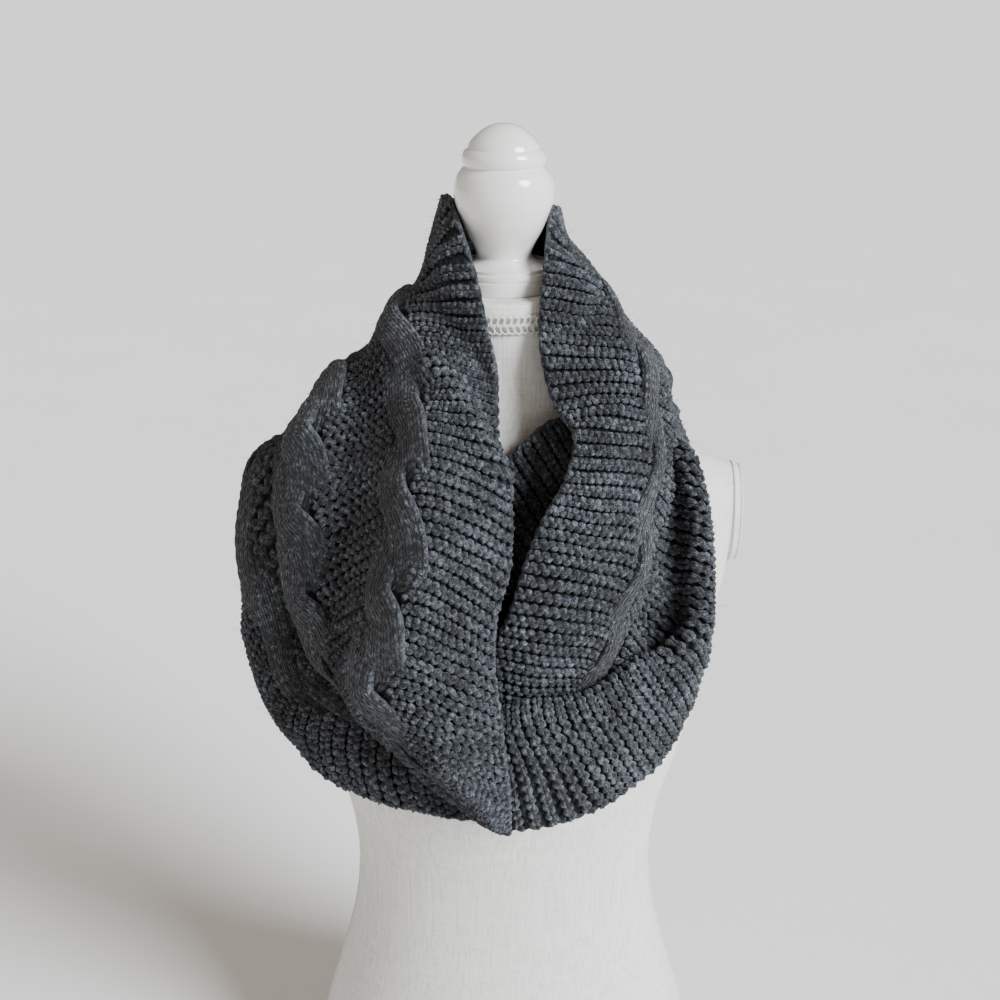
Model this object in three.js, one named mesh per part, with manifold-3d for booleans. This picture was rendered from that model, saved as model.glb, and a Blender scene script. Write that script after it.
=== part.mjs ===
// Infinity scarf in chunky garter and cable knit, wound twice round a limbless dress form.
// Millimetres, +Z up, the scarf's front faces -Y. The origin lies under the middle of the base board.

import * as THREE from 'three';
import { mergeVertices } from 'three/addons/utils/BufferGeometryUtils.js';
import Module from 'manifold-3d';

// Driving dimensions of the knitted band
const WALL = 4.6;            // thickness of the fabric between its ridges
const RIDGE_PITCH = 8.6;     // one garter ridge to the next
const RIDGE_RISE = 1.3;      // height of a garter ridge over the fabric
const CABLE_RISE = 3.6;      // height of a cable over the fabric
const CABLE_PITCH = 58;      // length of cable between two crossings
const SEAM_GAP = 0.3;        // distance kept between one stretch of the scarf and the next

// Driving dimensions of the dress form
const BASE = { radiusX: 160, radiusY: 104, height: 18 };
const NECK = { radius: 52, top: 710.6 };
const ARM = { height: 36, depth: 24, centre: 541, inner: 140, flare: 18, face: 171.5, plate: 2.5, inset: 2 };
const BRAID = { low: 690.6, high: 702, proud: 2.4 };
const CLEAR = 0.3;           // distance kept between the pieces of the form

const FORM_SEGMENTS = 36;
const FINIAL_SEGMENTS = 18;
const ARM_SEGMENTS = 28;

const wasm = await Module();
wasm.setup();

const part = new THREE.Group();

// Materials
const wool = new THREE.MeshStandardMaterial({ color: 0x3a3b3f, roughness: 0.95, metalness: 0 });
const linen = new THREE.MeshStandardMaterial({ color: 0xe8e5df, roughness: 0.9, metalness: 0 });
const gloss = new THREE.MeshStandardMaterial({ color: 0xf1f0ed, roughness: 0.22, metalness: 0 });
const trim = new THREE.MeshStandardMaterial({ color: 0xe4e2dc, roughness: 0.8, metalness: 0 });
const board = new THREE.MeshStandardMaterial({ color: 0xe6e3dd, roughness: 0.6, metalness: 0 });

function add(name, geometry, material) {
  const mesh = new THREE.Mesh(geometry, material);
  mesh.name = name;
  part.add(mesh);
  return mesh;
}

function geometryOf(points, faces) {
  const geometry = new THREE.BufferGeometry();
  geometry.setAttribute('position', new THREE.Float32BufferAttribute(points.flat(), 3));
  geometry.setIndex(faces.flat());
  return geometry;
}

// Joining solids
function toManifold(geometry) {
  const bare = geometry.clone();
  bare.deleteAttribute('normal');
  bare.deleteAttribute('uv');
  const merged = mergeVertices(bare, 1e-4);
  return new wasm.Manifold(new wasm.Mesh({
    numProp: 3,
    vertProperties: new Float32Array(merged.attributes.position.array),
    triVerts: new Uint32Array(merged.index.array),
  }));
}

function fromManifold(solid) {
  const mesh = solid.getMesh();
  const geometry = new THREE.BufferGeometry();
  geometry.setAttribute('position', new THREE.BufferAttribute(mesh.vertProperties, 3));
  geometry.setIndex(new THREE.BufferAttribute(mesh.triVerts, 1));
  return geometry;
}

// Closed body through rings of equal point count, with a flat cap at each end
function ringBody(rings) {
  const count = rings[0].length;
  const points = rings.flat();
  const faces = [];
  for (let r = 0; r < rings.length - 1; r += 1) {
    for (let i = 0; i < count; i += 1) {
      const a = r * count + i;
      const b = r * count + (i + 1) % count;
      faces.push([a, b, b + count], [a, b + count, a + count]);
    }
  }
  const last = (rings.length - 1) * count;
  for (let i = 1; i < count - 1; i += 1) {
    faces.push([0, i + 1, i], [last, last + i, last + i + 1]);
  }
  return geometryOf(points, faces);
}

// Torso: half width, front depth and back depth of the form at each height
const torsoTable = [
  { z: 18.3, half: 166, front: 108, back: 110 },
  { z: 80, half: 155, front: 104, back: 104 },
  { z: 134, half: 138, front: 97, back: 95 },
  { z: 187, half: 123, front: 88, back: 85 },
  { z: 234, half: 117, front: 83, back: 78 },
  { z: 287, half: 120, front: 87, back: 80 },
  { z: 325, half: 130, front: 93, back: 84 },
  { z: 375, half: 145, front: 100, back: 90 },
  { z: 420, half: 153, front: 104.5, back: 94 },
  { z: 460, half: 156, front: 106, back: 95 },
  { z: 495, half: 166, front: 102, back: 94 },
  { z: 540, half: 170, front: 91, back: 87 },
  { z: 564, half: 171, front: 81, back: 78 },
  { z: 578, half: 160, front: 76.5, back: 73 },
  { z: 588, half: 141, front: 73, back: 69 },
  { z: 602, half: 124, front: 69, back: 65 },
  { z: 622, half: 102, front: 63, back: 60 },
  { z: 642, half: 79, front: 57, back: 56 },
  { z: 656, half: 64, front: 53.6, back: 53.6 },
  { z: 668, half: 55, front: 52.3, back: 52.3 },
  { z: 690, half: NECK.radius, front: NECK.radius, back: NECK.radius },
  { z: NECK.top, half: NECK.radius, front: NECK.radius, back: NECK.radius },
];

function torsoRing({ z, half, front, back }) {
  const ring = [];
  for (let i = 0; i < FORM_SEGMENTS; i += 1) {
    const angle = (i / FORM_SEGMENTS) * 2 * Math.PI;
    const depth = Math.sin(angle) < 0 ? front : back;
    ring.push([half * Math.cos(angle), depth * Math.sin(angle), z]);
  }
  return ring;
}

function armOutline(grow) {
  const outline = [];
  for (let i = 0; i < ARM_SEGMENTS; i += 1) {
    const angle = (i / ARM_SEGMENTS) * 2 * Math.PI;
    outline.push([(ARM.depth + grow) * Math.cos(angle), ARM.centre + (ARM.height + grow) * Math.sin(angle)]);
  }
  return outline;
}

function armDisc(side, from, to, growFrom, growTo) {
  const near = armOutline(growFrom).map(([y, z]) => [side * from, y, z]);
  const far = armOutline(growTo).map(([y, z]) => [side * to, y, z]);
  return side > 0 ? ringBody([near, far]) : ringBody([far, near]);
}

const torso = [1, -1].reduce(
  (body, side) => body.add(toManifold(armDisc(side, ARM.inner, ARM.face, ARM.flare, 0))),
  toManifold(ringBody(torsoTable.map(torsoRing))),
);
add('torso', fromManifold(torso), linen);

// Arm plates
for (const [word, side] of [['left', -1], ['right', 1]]) {
  const plate = armDisc(side, ARM.face + CLEAR, ARM.face + CLEAR + ARM.plate, -ARM.inset, -ARM.inset);
  add(`arm_plate_${word}`, plate, linen);
}

// Base board
function baseRing(z, shrink) {
  const ring = [];
  for (let i = 0; i < FORM_SEGMENTS; i += 1) {
    const angle = (i / FORM_SEGMENTS) * 2 * Math.PI;
    ring.push([(BASE.radiusX - shrink) * Math.cos(angle), (BASE.radiusY - shrink) * Math.sin(angle), z]);
  }
  return ring;
}
add('base_board', ringBody([baseRing(0, 2), baseRing(3, 0), baseRing(BASE.height - 3, 0),
  baseRing(BASE.height, 2)]), board);

// Turned pieces: a profile of radius and height, spun round the neck's axis
function turned(name, profile, segments, material) {
  const points = profile.map(([radius, height]) => new THREE.Vector2(radius, height));
  const spun = new THREE.LatheGeometry(points, segments);
  spun.rotateX(Math.PI / 2);
  add(name, fromManifold(toManifold(spun)), material);
}

turned('neck_braid', [
  [NECK.radius + CLEAR, BRAID.low],
  [NECK.radius + BRAID.proud, BRAID.low],
  [NECK.radius + BRAID.proud, BRAID.high],
  [NECK.radius + CLEAR, BRAID.high],
  [NECK.radius + CLEAR, BRAID.low],
], FORM_SEGMENTS, trim);

const finialProfile = [
  [0, NECK.top + CLEAR], [37, NECK.top + CLEAR], [37, 719.5], [36, 720], [36, 724.4], [34, 724.8],
  [34, 727], [24, 729], [19, 733], [20, 740], [24, 750], [29, 761], [32.5, 769], [34, 776], [33, 785],
  [29, 791], [27, 793], [28.6, 798], [27, 803], [24.4, 805.5], [20, 812], [13, 817.5], [6, 820.2], [0, 821],
];
turned('finial', finialProfile, FINIAL_SEGMENTS, gloss);

// Wound band: each row is a section across the knitted band, from its first edge to where it turns under.
// Columns of the inner winding: edge = upper selvedge, rise = middle of the garter border,
// seam = border meets cable, roll = top of the first cable, valley = garter between the cables,
// cable = top of the second cable, tuck = where the band turns out of sight.
const innerColumns = ['edge', 'rise', 'seam', 'roll', 'valley', 'cable', 'tuck'];
const innerTable = [
  { edge: [3, -163, 372], rise: [-4, -165, 376], seam: [-11, -164, 380], roll: [-16, -161, 383],
    valley: [-20, -157, 386], cable: [-22, -152, 388], tuck: [-22, -147, 389] },
  { edge: [3, -166, 397], rise: [-17, -170, 405], seam: [-31, -168, 411], roll: [-38, -163, 409],
    valley: [-43, -158, 406], cable: [-46, -152, 403], tuck: [-46, -146, 402] },
  { edge: [1, -167, 427], rise: [-30, -173, 439], seam: [-55, -170, 443], roll: [-67, -161, 438],
    valley: [-71, -154, 434], cable: [-73, -147, 431], tuck: [-72, -140, 430] },
  { edge: [-3, -166, 464], rise: [-35, -175, 478], seam: [-66, -174, 484], roll: [-88, -161, 466],
    valley: [-95, -150, 458], cable: [-96, -142, 454], tuck: [-93, -135, 452] },
  { edge: [-8, -159, 498], rise: [-36, -171, 514], seam: [-64, -174, 521], roll: [-89, -158, 503],
    valley: [-106, -132, 478], cable: [-111, -119, 464], tuck: [-107, -110, 455] },
  { edge: [-6, -149, 529], rise: [-31, -164, 545], seam: [-55, -170, 553], roll: [-81, -155, 535],
    valley: [-106, -119, 502], cable: [-125, -105, 481], tuck: [-132, -92, 462] },
  { edge: [3, -131, 558], rise: [-24, -150, 575], seam: [-50, -158, 582], roll: [-73, -146, 566],
    valley: [-104, -109, 532], cable: [-134, -94, 504], tuck: [-146, -79, 485] },
  { edge: [3, -114, 590], rise: [-25, -134, 607], seam: [-52, -139, 611], roll: [-70, -130, 596],
    valley: [-102, -97, 563], cable: [-139, -84, 535], tuck: [-154, -69, 520] },
  { edge: [-5, -94, 630], rise: [-28, -104, 637], seam: [-50, -112, 639], roll: [-67, -107, 624],
    valley: [-100, -83, 594], cable: [-141, -74, 568], tuck: [-159, -60, 551] },
  { edge: [-5, -76, 666], rise: [-25, -76, 666], seam: [-45, -74, 664], roll: [-65, -74, 648],
    valley: [-98, -62, 620], cable: [-138, -60, 602], tuck: [-162, -48, 577] },
  { edge: [-12, -62, 697], rise: [-34, -56, 694], seam: [-57, -42, 690], roll: [-75, -40, 679],
    valley: [-98, -36, 646], cable: [-131, -38, 632], tuck: [-160, -30, 600] },
  { edge: [-19, -46, 727], rise: [-43, -41, 719], seam: [-61, -20, 704], roll: [-80, -12, 690],
    valley: [-94, -12, 664], cable: [-121, -14, 644], tuck: [-149, -14, 615] },
  { edge: [-37, 8, 769], rise: [-45, 12, 743], seam: [-59, 10, 708], roll: [-78, 8, 693],
    valley: [-92, 10, 665], cable: [-122, 10, 643], tuck: [-148, 10, 614] },
  { edge: [-37, 42, 762], rise: [-46, 52, 732], seam: [-55, 64, 694], roll: [-72, 74, 672],
    valley: [-87, 84, 647], cable: [-104, 95, 622], tuck: [-122, 103, 592] },
  { edge: [0, 54, 756], rise: [0, 66, 728], seam: [0, 80, 692], roll: [0, 94, 670],
    valley: [0, 104, 644], cable: [0, 110, 620], tuck: [0, 112, 590] },
  { edge: [34, 42, 756], rise: [40, 50, 730], seam: [54, 64, 696], roll: [68, 78, 676],
    valley: [83, 90, 652], cable: [96, 98, 628], tuck: [106, 104, 602] },
  { edge: [33, 20, 760], rise: [38, 16, 744], seam: [56, 14, 722], roll: [68, 14, 702],
    valley: [90, 12, 672], cable: [106, 12, 653], tuck: [115, 12, 637] },
  { edge: [28, -34, 735], rise: [42, -26, 732], seam: [58, -12, 722], roll: [71, -2, 702],
    valley: [93, 2, 672], cable: [107, 2, 654], tuck: [114, 0, 640] },
  { edge: [25, -53, 709], rise: [48, -46, 706], seam: [69, -32, 702], roll: [83, -20, 683],
    valley: [102, -12, 667], cable: [110, -8, 651], tuck: [112, -4, 642] },
  { edge: [25, -64, 683], rise: [52, -60, 682], seam: [80, -54, 680], roll: [96, -44, 669],
    valley: [109, -30, 653], cable: [111, -22, 645], tuck: [108, -16, 641] },
  { edge: [34, -82, 650], rise: [60, -80, 657], seam: [87, -74, 657], roll: [100, -62, 646],
    valley: [111, -50, 636], cable: [108, -44, 636], tuck: [102, -43, 637] },
  { edge: [46, -106, 635], rise: [67, -104, 637], seam: [90, -92, 635], roll: [101, -80, 624],
    valley: [110, -67, 610], cable: [107, -63, 608], tuck: [101, -63, 608] },
  { edge: [40, -120, 612], rise: [63, -120, 614], seam: [89, -106, 611], roll: [99, -94, 601],
    valley: [108, -80, 586], cable: [106, -75, 583], tuck: [101, -74, 582] },
  { edge: [26, -128, 588], rise: [55, -130, 587], seam: [83, -117, 583], roll: [93, -104, 571],
    valley: [99, -94, 557], cable: [97, -89, 554], tuck: [93, -87, 552] },
  { edge: [15, -134, 561], rise: [47, -137, 560], seam: [80, -122, 551], roll: [89, -110, 538],
    valley: [91, -101, 523], cable: [88, -97, 518], tuck: [83, -96, 516] },
  { edge: [5, -138, 527], rise: [38, -141, 528], seam: [69, -127, 521], roll: [76, -116, 506],
    valley: [77, -109, 491], cable: [75, -104.5, 486], tuck: [70, -103, 485] },
  { edge: [-9, -134, 495], rise: [24, -138, 494], seam: [58, -127, 490], roll: [64, -119, 477],
    valley: [63, -114, 465], cable: [61, -109.5, 460], tuck: [56, -107, 459] },
  { edge: [-18, -128, 463], rise: [12, -131, 458], seam: [46, -122, 457], roll: [50, -117, 447],
    valley: [49, -112, 438], cable: [46, -107, 434], tuck: [42, -102.9, 433] },
  { edge: [-13, -122, 434], rise: [8, -124, 431], seam: [30, -120, 430], roll: [35, -117, 424],
    valley: [35, -113, 417], cable: [33, -109.5, 413], tuck: [29, -108.5, 413] },
];

// Columns of the outer winding: hem = lower selvedge, rib = middle of the ribbed border,
// seam = border meets cable, cable = top of the cable or of the rolled rim, shoulder = over the cable,
// under = last edge, under the inner winding or inside the rim.
const outerColumns = ['hem', 'rib', 'seam', 'cable', 'shoulder', 'under'];
const outerTable = [
  { hem: [-6, -153, 368], rib: [-8, -157, 410], seam: [-10, -155, 444], cable: [-11, -149, 453],
    shoulder: [-11, -142, 450], under: [-10, -138, 440] },
  { hem: [30, -158, 376], rib: [23, -163, 422], seam: [12, -159, 455], cable: [13, -152, 463],
    shoulder: [16, -144, 460], under: [20, -139, 449] },
  { hem: [66, -146, 383], rib: [54, -157, 422], seam: [40, -152, 455], cable: [40, -146, 463],
    shoulder: [44, -139, 457], under: [53, -132, 446] },
  { hem: [92, -124, 389], rib: [80, -138, 425], seam: [66, -137, 456], cable: [64, -132, 465],
    shoulder: [67, -126, 460], under: [70, -113, 455] },
  { hem: [118, -100, 404], rib: [108, -114, 435], seam: [94, -115, 464], cable: [90, -112, 474],
    shoulder: [88, -104, 471], under: [81, -102, 482] },
  { hem: [133, -84, 426], rib: [128, -95, 450], seam: [119, -102, 473], cable: [111, -106, 482],
    shoulder: [108, -98, 480], under: [91, -97, 509] },
  { hem: [138, -74, 450], rib: [139, -85, 467], seam: [137, -93, 486], cable: [129, -98, 498],
    shoulder: [122, -91, 498], under: [96, -93.5, 521] },
  { hem: [139, -67, 476], rib: [141, -78, 489], seam: [139, -86, 504], cable: [131, -91, 516],
    shoulder: [121, -87, 515], under: [99.5, -89.5, 533] },
  { hem: [138, -62, 502], rib: [141, -71, 512], seam: [139, -79, 526], cable: [131, -83, 538],
    shoulder: [121, -79, 538], under: [104, -84, 549] },
  { hem: [136, -60, 528], rib: [139, -66, 538], seam: [137, -72, 552], cable: [130, -75, 564],
    shoulder: [121, -72, 565], under: [111, -77, 571] },
  { hem: [134, -53.9, 556], rib: [136, -60, 565], seam: [133, -64, 577], cable: [126, -65, 589],
    shoulder: [120, -64, 591], under: [115, -66, 594] },
  { hem: [133, -46, 580], rib: [132, -48, 587], seam: [127, -51, 598], cable: [120, -50, 608],
    shoulder: [113, -46, 614], under: [103, -42, 621] },
  { hem: [129, -25, 599], rib: [122, -24, 609], seam: [114, -22, 621], cable: [106, -19, 630],
    shoulder: [95, -17, 639], under: [82, -17, 646] },
  { hem: [124, 0, 612], rib: [116, 0, 620], seam: [107, 0, 628], cable: [97, 0, 637],
    shoulder: [86, 0, 646], under: [72, 0, 656] },
  { hem: [126, 30, 606], rib: [119, 34, 614], seam: [110, 37, 622], cable: [100, 39, 630],
    shoulder: [88, 40, 638], under: [74, 40, 646] },
  { hem: [104, 74, 560], rib: [98, 72, 580], seam: [90, 70, 600], cable: [82, 67, 616],
    shoulder: [72, 64, 630], under: [60, 60, 640] },
  { hem: [60, 108, 490], rib: [56, 105, 520], seam: [52, 100, 548], cable: [48, 94, 572],
    shoulder: [42, 86, 596], under: [34, 76, 620] },
  { hem: [0, 116, 468], rib: [0, 114, 500], seam: [0, 110, 532], cable: [0, 104, 560],
    shoulder: [0, 95, 588], under: [0, 82, 614] },
  { hem: [-62, 114, 462], rib: [-60, 113, 494], seam: [-58, 110, 526], cable: [-56, 104, 556],
    shoulder: [-52, 95, 584], under: [-46, 83, 610] },
  { hem: [-118, 106, 462], rib: [-116, 108, 496], seam: [-113, 107, 530], cable: [-108, 101, 562],
    shoulder: [-98, 90, 592], under: [-84, 74, 616] },
  { hem: [-166, 64, 462], rib: [-168, 64, 498], seam: [-166, 62, 534], cable: [-156, 56, 568],
    shoulder: [-134, 48, 598], under: [-110, 42, 622] },
  { hem: [-187, 12, 462], rib: [-190, 12, 506], seam: [-188, 12, 548], cable: [-181, 12, 580],
    shoulder: [-151, 12, 598], under: [-118, 12, 621] },
  { hem: [-187, -22, 452], rib: [-190, -20, 487], seam: [-189, -20, 521], cable: [-184, -20, 553],
    shoulder: [-169, -20, 581], under: [-138, -24, 606] },
  { hem: [-184, -46, 441], rib: [-185, -43, 466], seam: [-183, -43, 492], cable: [-179, -45, 524],
    shoulder: [-161, -48, 553], under: [-139, -51, 584] },
  { hem: [-164, -76, 413], rib: [-171, -74, 431], seam: [-165, -76, 450], cable: [-156, -74, 468],
    shoulder: [-147, -67, 486], under: [-137, -70, 512] },
  { hem: [-132, -108, 388], rib: [-141, -104, 412], seam: [-137, -103, 431], cable: [-130, -97, 443],
    shoulder: [-122, -90, 452], under: [-114, -86, 468] },
  { hem: [-95, -129, 379], rib: [-101, -124, 410], seam: [-98, -117, 430], cable: [-94, -112, 440],
    shoulder: [-88, -107, 448], under: [-80, -102, 462] },
  { hem: [-58, -141, 376], rib: [-67, -133, 403], seam: [-65, -125, 419], cable: [-62, -120, 429],
    shoulder: [-58, -116, 438], under: [-52, -112, 450] },
  { hem: [-34, -144, 372], rib: [-41, -137, 391], seam: [-43, -130, 405], cable: [-42, -126, 414],
    shoulder: [-40, -121, 423], under: [-36, -117, 434] },
  { hem: [-19, -144, 371], rib: [-24, -139, 390], seam: [-27, -131, 404], cable: [-28, -127, 413],
    shoulder: [-28, -122, 422], under: [-26, -118, 432] },
];

// Columns of the stretch deep in the V: top = its selvedge, then rise, middle and low, slanting down the chest.
const chestColumns = ['top', 'rise', 'middle', 'low'];
const chestTable = [
  { top: [-48, -94, 548], rise: [-26, -102, 520], middle: [-4, -107, 494], low: [20, -106.8, 468] },
  { top: [-34, -91, 566], rise: [-10, -100, 536], middle: [12, -106, 508], low: [34, -105, 482] },
  { top: [-18, -86, 586], rise: [6, -96, 554], middle: [28, -103, 524], low: [48, -101, 498] },
  { top: [0, -81, 607], rise: [22, -91, 574], middle: [43, -98, 543], low: [60, -97, 516] },
  { top: [14, -77, 622], rise: [36, -86, 590], middle: [54, -93, 560], low: [66, -94, 536] },
  { top: [30, -72, 634], rise: [48, -82, 606], middle: [62, -89, 578], low: [72, -90, 556] },
  { top: [46, -67, 637], rise: [58, -77, 616], middle: [68, -84, 594], low: [76, -86, 574] },
];

// Curves down each named column of a table, through all of its rows
function columnCurves(table, columns) {
  return columns.map((name) => new THREE.CatmullRomCurve3(
    table.map((row) => new THREE.Vector3(...row[name])), false, 'centripetal'));
}

// Point of the band's middle surface: along counts rows of the table, across counts its columns
function sectionAt(curves, rows, along) {
  return new THREE.CatmullRomCurve3(
    curves.map((curve) => curve.getPoint(along / (rows - 1))), false, 'centripetal');
}

// Steps along the band that keep one length of fabric between ridges, measured down one column
function evenSteps(curve, rows, from, to, step) {
  const fine = 40;
  const count = Math.round((to - from) * fine);
  const lengths = [0];
  let last = curve.getPoint(from / (rows - 1));
  for (let i = 1; i <= count; i += 1) {
    const next = curve.getPoint((from + (to - from) * (i / count)) / (rows - 1));
    lengths.push(lengths[i - 1] + next.distanceTo(last));
    last = next;
  }
  const total = lengths[count];
  const stops = [];
  const trimmed = total - SEAM_GAP;
  const pieces = 2 * Math.round(trimmed / step / 2);
  let cursor = 0;
  for (let k = 0; k <= pieces; k += 1) {
    const want = SEAM_GAP / 2 + trimmed * (k / pieces);
    while (cursor < count - 1 && lengths[cursor + 1] < want) {
      cursor += 1;
    }
    const share = (want - lengths[cursor]) / (lengths[cursor + 1] - lengths[cursor]);
    stops.push({ along: from + (to - from) * ((cursor + share) / count), length: want });
  }
  return stops;
}

// Height of the knit over the fabric. Zones name which columns a cable lies between.
function reliefAt(across, length, crest, cables) {
  for (const { from, to } of cables) {
    if (across > from && across < to) {
      const place = (2 * (across - from)) / (to - from) - 1;
      const turn = Math.PI * (length / CABLE_PITCH - place * 0.35);
      const groove = 1 - 0.45 * Math.cos(turn) ** 8;
      return CABLE_RISE * Math.sqrt(1 - place * place) * groove;
    }
  }
  return crest ? RIDGE_RISE : 0;
}

// Strip of triangles between two rows of points, each point placed by its own distance along the row
function zip(first, second, flip) {
  const faces = [];
  let a = 0;
  let b = 0;
  while (a < first.length - 1 || b < second.length - 1) {
    const nextA = a < first.length - 1 ? first[a + 1].at : Infinity;
    const nextB = b < second.length - 1 ? second[b + 1].at : Infinity;
    const [p, q, s] = nextA <= nextB ? [first[a], first[a + 1], second[b]] : [first[a], second[b + 1], second[b]];
    faces.push(flip ? [p.id, s.id, q.id] : [p.id, q.id, s.id]);
    if (nextA <= nextB) {
      a += 1;
    } else {
      b += 1;
    }
  }
  return faces;
}

// Every second entry, with the last one and any named one kept
function thinned(list, alsoKept) {
  return list.filter((value, index) => (
    index % 2 === 0 || index === list.length - 1 || alsoKept.includes(index)));
}

// Wall of knitted fabric: its outer face carries the ridges and cables, its inner face is plain
function knittedWall({ name, table, columns, from, to, measure, stations, lining, cables, face }) {
  const curves = columnCurves(table, columns);
  const rows = table.length;
  const guide = curves[columns.indexOf(measure)];
  const stops = evenSteps(guide, rows, from, to, RIDGE_PITCH / 2);
  const nudge = 0.02;
  const grid = stops.map(({ along, length }, step) => {
    const here = sectionAt(curves, rows, along);
    const before = sectionAt(curves, rows, Math.max(0, along - nudge));
    const after = sectionAt(curves, rows, Math.min(rows - 1, along + nudge));
    return stations.map((across) => {
      const at = across / (columns.length - 1);
      const point = here.getPoint(at);
      const down = after.getPoint(at).sub(before.getPoint(at));
      const over = here.getPoint(Math.min(1, at + 0.01)).sub(here.getPoint(Math.max(0, at - 0.01)));
      const normal = over.cross(down).normalize().multiplyScalar(face);
      const rise = reliefAt(across, length, step % 2 === 1, cables);
      return {
        across,
        along,
        outer: point.clone().addScaledVector(normal, WALL / 2 + rise),
        inner: point.clone().addScaledVector(normal, -WALL / 2),
      };
    });
  });

  const points = [];
  const keep = (vector) => points.push(vector.toArray()) - 1;
  const sheetOf = (rows, side, spared) => rows.map((row) => spared(row).map((cell) => ({
    id: keep(cell[side]), across: cell.across, along: cell.along,
  })));
  const outer = sheetOf(grid, 'outer', (row) => row);
  const inner = sheetOf(thinned(grid, []), 'inner', (row) => thinned(row, lining));
  const flip = face < 0;
  const faces = [];
  const cover = (sheet, turned) => {
    for (let r = 0; r < sheet.length - 1; r += 1) {
      for (let c = 0; c < sheet[r].length - 1; c += 1) {
        const corners = [sheet[r][c], sheet[r][c + 1], sheet[r + 1][c + 1], sheet[r + 1][c]];
        const [p, q, s, t] = (turned ? corners.reverse() : corners).map(({ id }) => id);
        faces.push([p, q, s], [p, s, t]);
      }
    }
  };
  cover(outer, flip);
  cover(inner, !flip);
  const end = (sheet, row) => sheet.at(row).map(({ id, across }) => ({ id, at: across }));
  const side = (sheet, column) => sheet.map((row) => row.at(column)).map(({ id, along }) => ({ id, at: along }));
  faces.push(...zip(end(outer, 0), end(inner, 0), !flip));
  faces.push(...zip(end(outer, -1), end(inner, -1), flip));
  faces.push(...zip(side(outer, 0), side(inner, 0), flip));
  faces.push(...zip(side(outer, -1), side(inner, -1), !flip));
  add(name, geometryOf(points, faces), wool);
}

const leftStations = [0, 1, 2, 2.3, 2.65, 3, 3.35, 4.5, 4.8, 5.15, 5.5, 6];
const rightStations = [0, 1, 2, 2.4, 2.8, 3.2, 3.6, 4.3, 5, 6];
const innerCables = [{ from: 2, to: 3.35 }, { from: 4.5, to: 5.8 }];
const flapCables = [{ from: 2, to: 3.6 }];
const outerStations = [0, 1, 2, 2.35, 2.75, 3.15, 3.5, 4, 5];
const rimStations = [0, 0.9, 2, 2.5, 3, 3.5, 4.2, 5];
const outerCables = [{ from: 2, to: 3.5 }];
const nape = { left: 13, right: 15 };
const outside = { crossing: 0, shoulderRight: 13, shoulderLeft: 20, end: 29 };

const innerWinding = { table: innerTable, columns: innerColumns, measure: 'seam', face: -1 };
const outerWinding = { table: outerTable, columns: outerColumns, measure: 'rib', face: -1 };

knittedWall({ ...innerWinding, name: 'scarf_front_left', from: 0, to: nape.left,
  stations: leftStations, lining: [1, 7], cables: innerCables });
knittedWall({ ...innerWinding, name: 'scarf_collar_back', from: nape.left, to: nape.right,
  stations: leftStations, lining: [1, 7], cables: innerCables });
knittedWall({ ...innerWinding, name: 'scarf_front_right', from: nape.right, to: innerTable.length - 1,
  stations: rightStations, lining: [1], cables: flapCables });
knittedWall({ ...outerWinding, name: 'scarf_outer_right', from: outside.crossing, to: outside.shoulderRight,
  stations: rimStations, lining: [1], cables: [] });
knittedWall({ ...outerWinding, name: 'scarf_outer_back', from: outside.shoulderRight,
  to: outside.shoulderLeft, stations: outerStations, lining: [1], cables: outerCables });
knittedWall({ ...outerWinding, name: 'scarf_outer_left', from: outside.shoulderLeft, to: outside.end,
  stations: outerStations, lining: [1], cables: outerCables });
knittedWall({ name: 'scarf_chest', table: chestTable, columns: chestColumns, from: 0,
  to: chestTable.length - 1, measure: 'middle', stations: [0, 1, 2, 3], lining: [1], cables: [], face: 1 });

export default part;
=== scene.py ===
"""Chunky knitted loop scarf wound twice round a limbless dress form.

Metres, +Z up, the scarf's front faces -Y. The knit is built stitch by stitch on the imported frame.
"""

import math

import bpy
import numpy as np
from mathutils import Matrix, Vector


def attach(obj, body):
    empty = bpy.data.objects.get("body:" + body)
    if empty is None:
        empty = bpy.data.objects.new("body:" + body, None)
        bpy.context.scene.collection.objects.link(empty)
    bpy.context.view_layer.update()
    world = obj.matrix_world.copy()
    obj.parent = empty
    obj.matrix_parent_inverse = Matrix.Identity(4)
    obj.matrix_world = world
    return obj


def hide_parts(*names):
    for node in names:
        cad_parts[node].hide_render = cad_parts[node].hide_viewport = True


bl_info = {
    "name": "Knitted loop scarf on a dress form",
    "version": (1, 0, 0),
    "blender": (4, 5, 0),
    "location": "3D View > Sidebar > Knitted scarf",
    "description": "Builds a garter and cable knit loop scarf on a linen dress form",
    "category": "Add Mesh",
}

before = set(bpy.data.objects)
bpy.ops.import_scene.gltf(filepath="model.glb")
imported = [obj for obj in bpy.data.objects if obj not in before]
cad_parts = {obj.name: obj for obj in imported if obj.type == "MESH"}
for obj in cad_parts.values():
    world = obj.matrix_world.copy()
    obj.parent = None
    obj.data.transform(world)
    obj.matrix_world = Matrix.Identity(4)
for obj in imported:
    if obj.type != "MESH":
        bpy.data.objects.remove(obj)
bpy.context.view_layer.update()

# Knitted band, in millimetres
WALL = 4.6
HALF_RIDGE = 4.3
SEAM_GAP = 0.3


def named(columns, *rows):
    """Rows of a table as dicts, with the names of the columns given once."""
    return tuple(dict(zip(columns.split(), row)) for row in rows)


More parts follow.
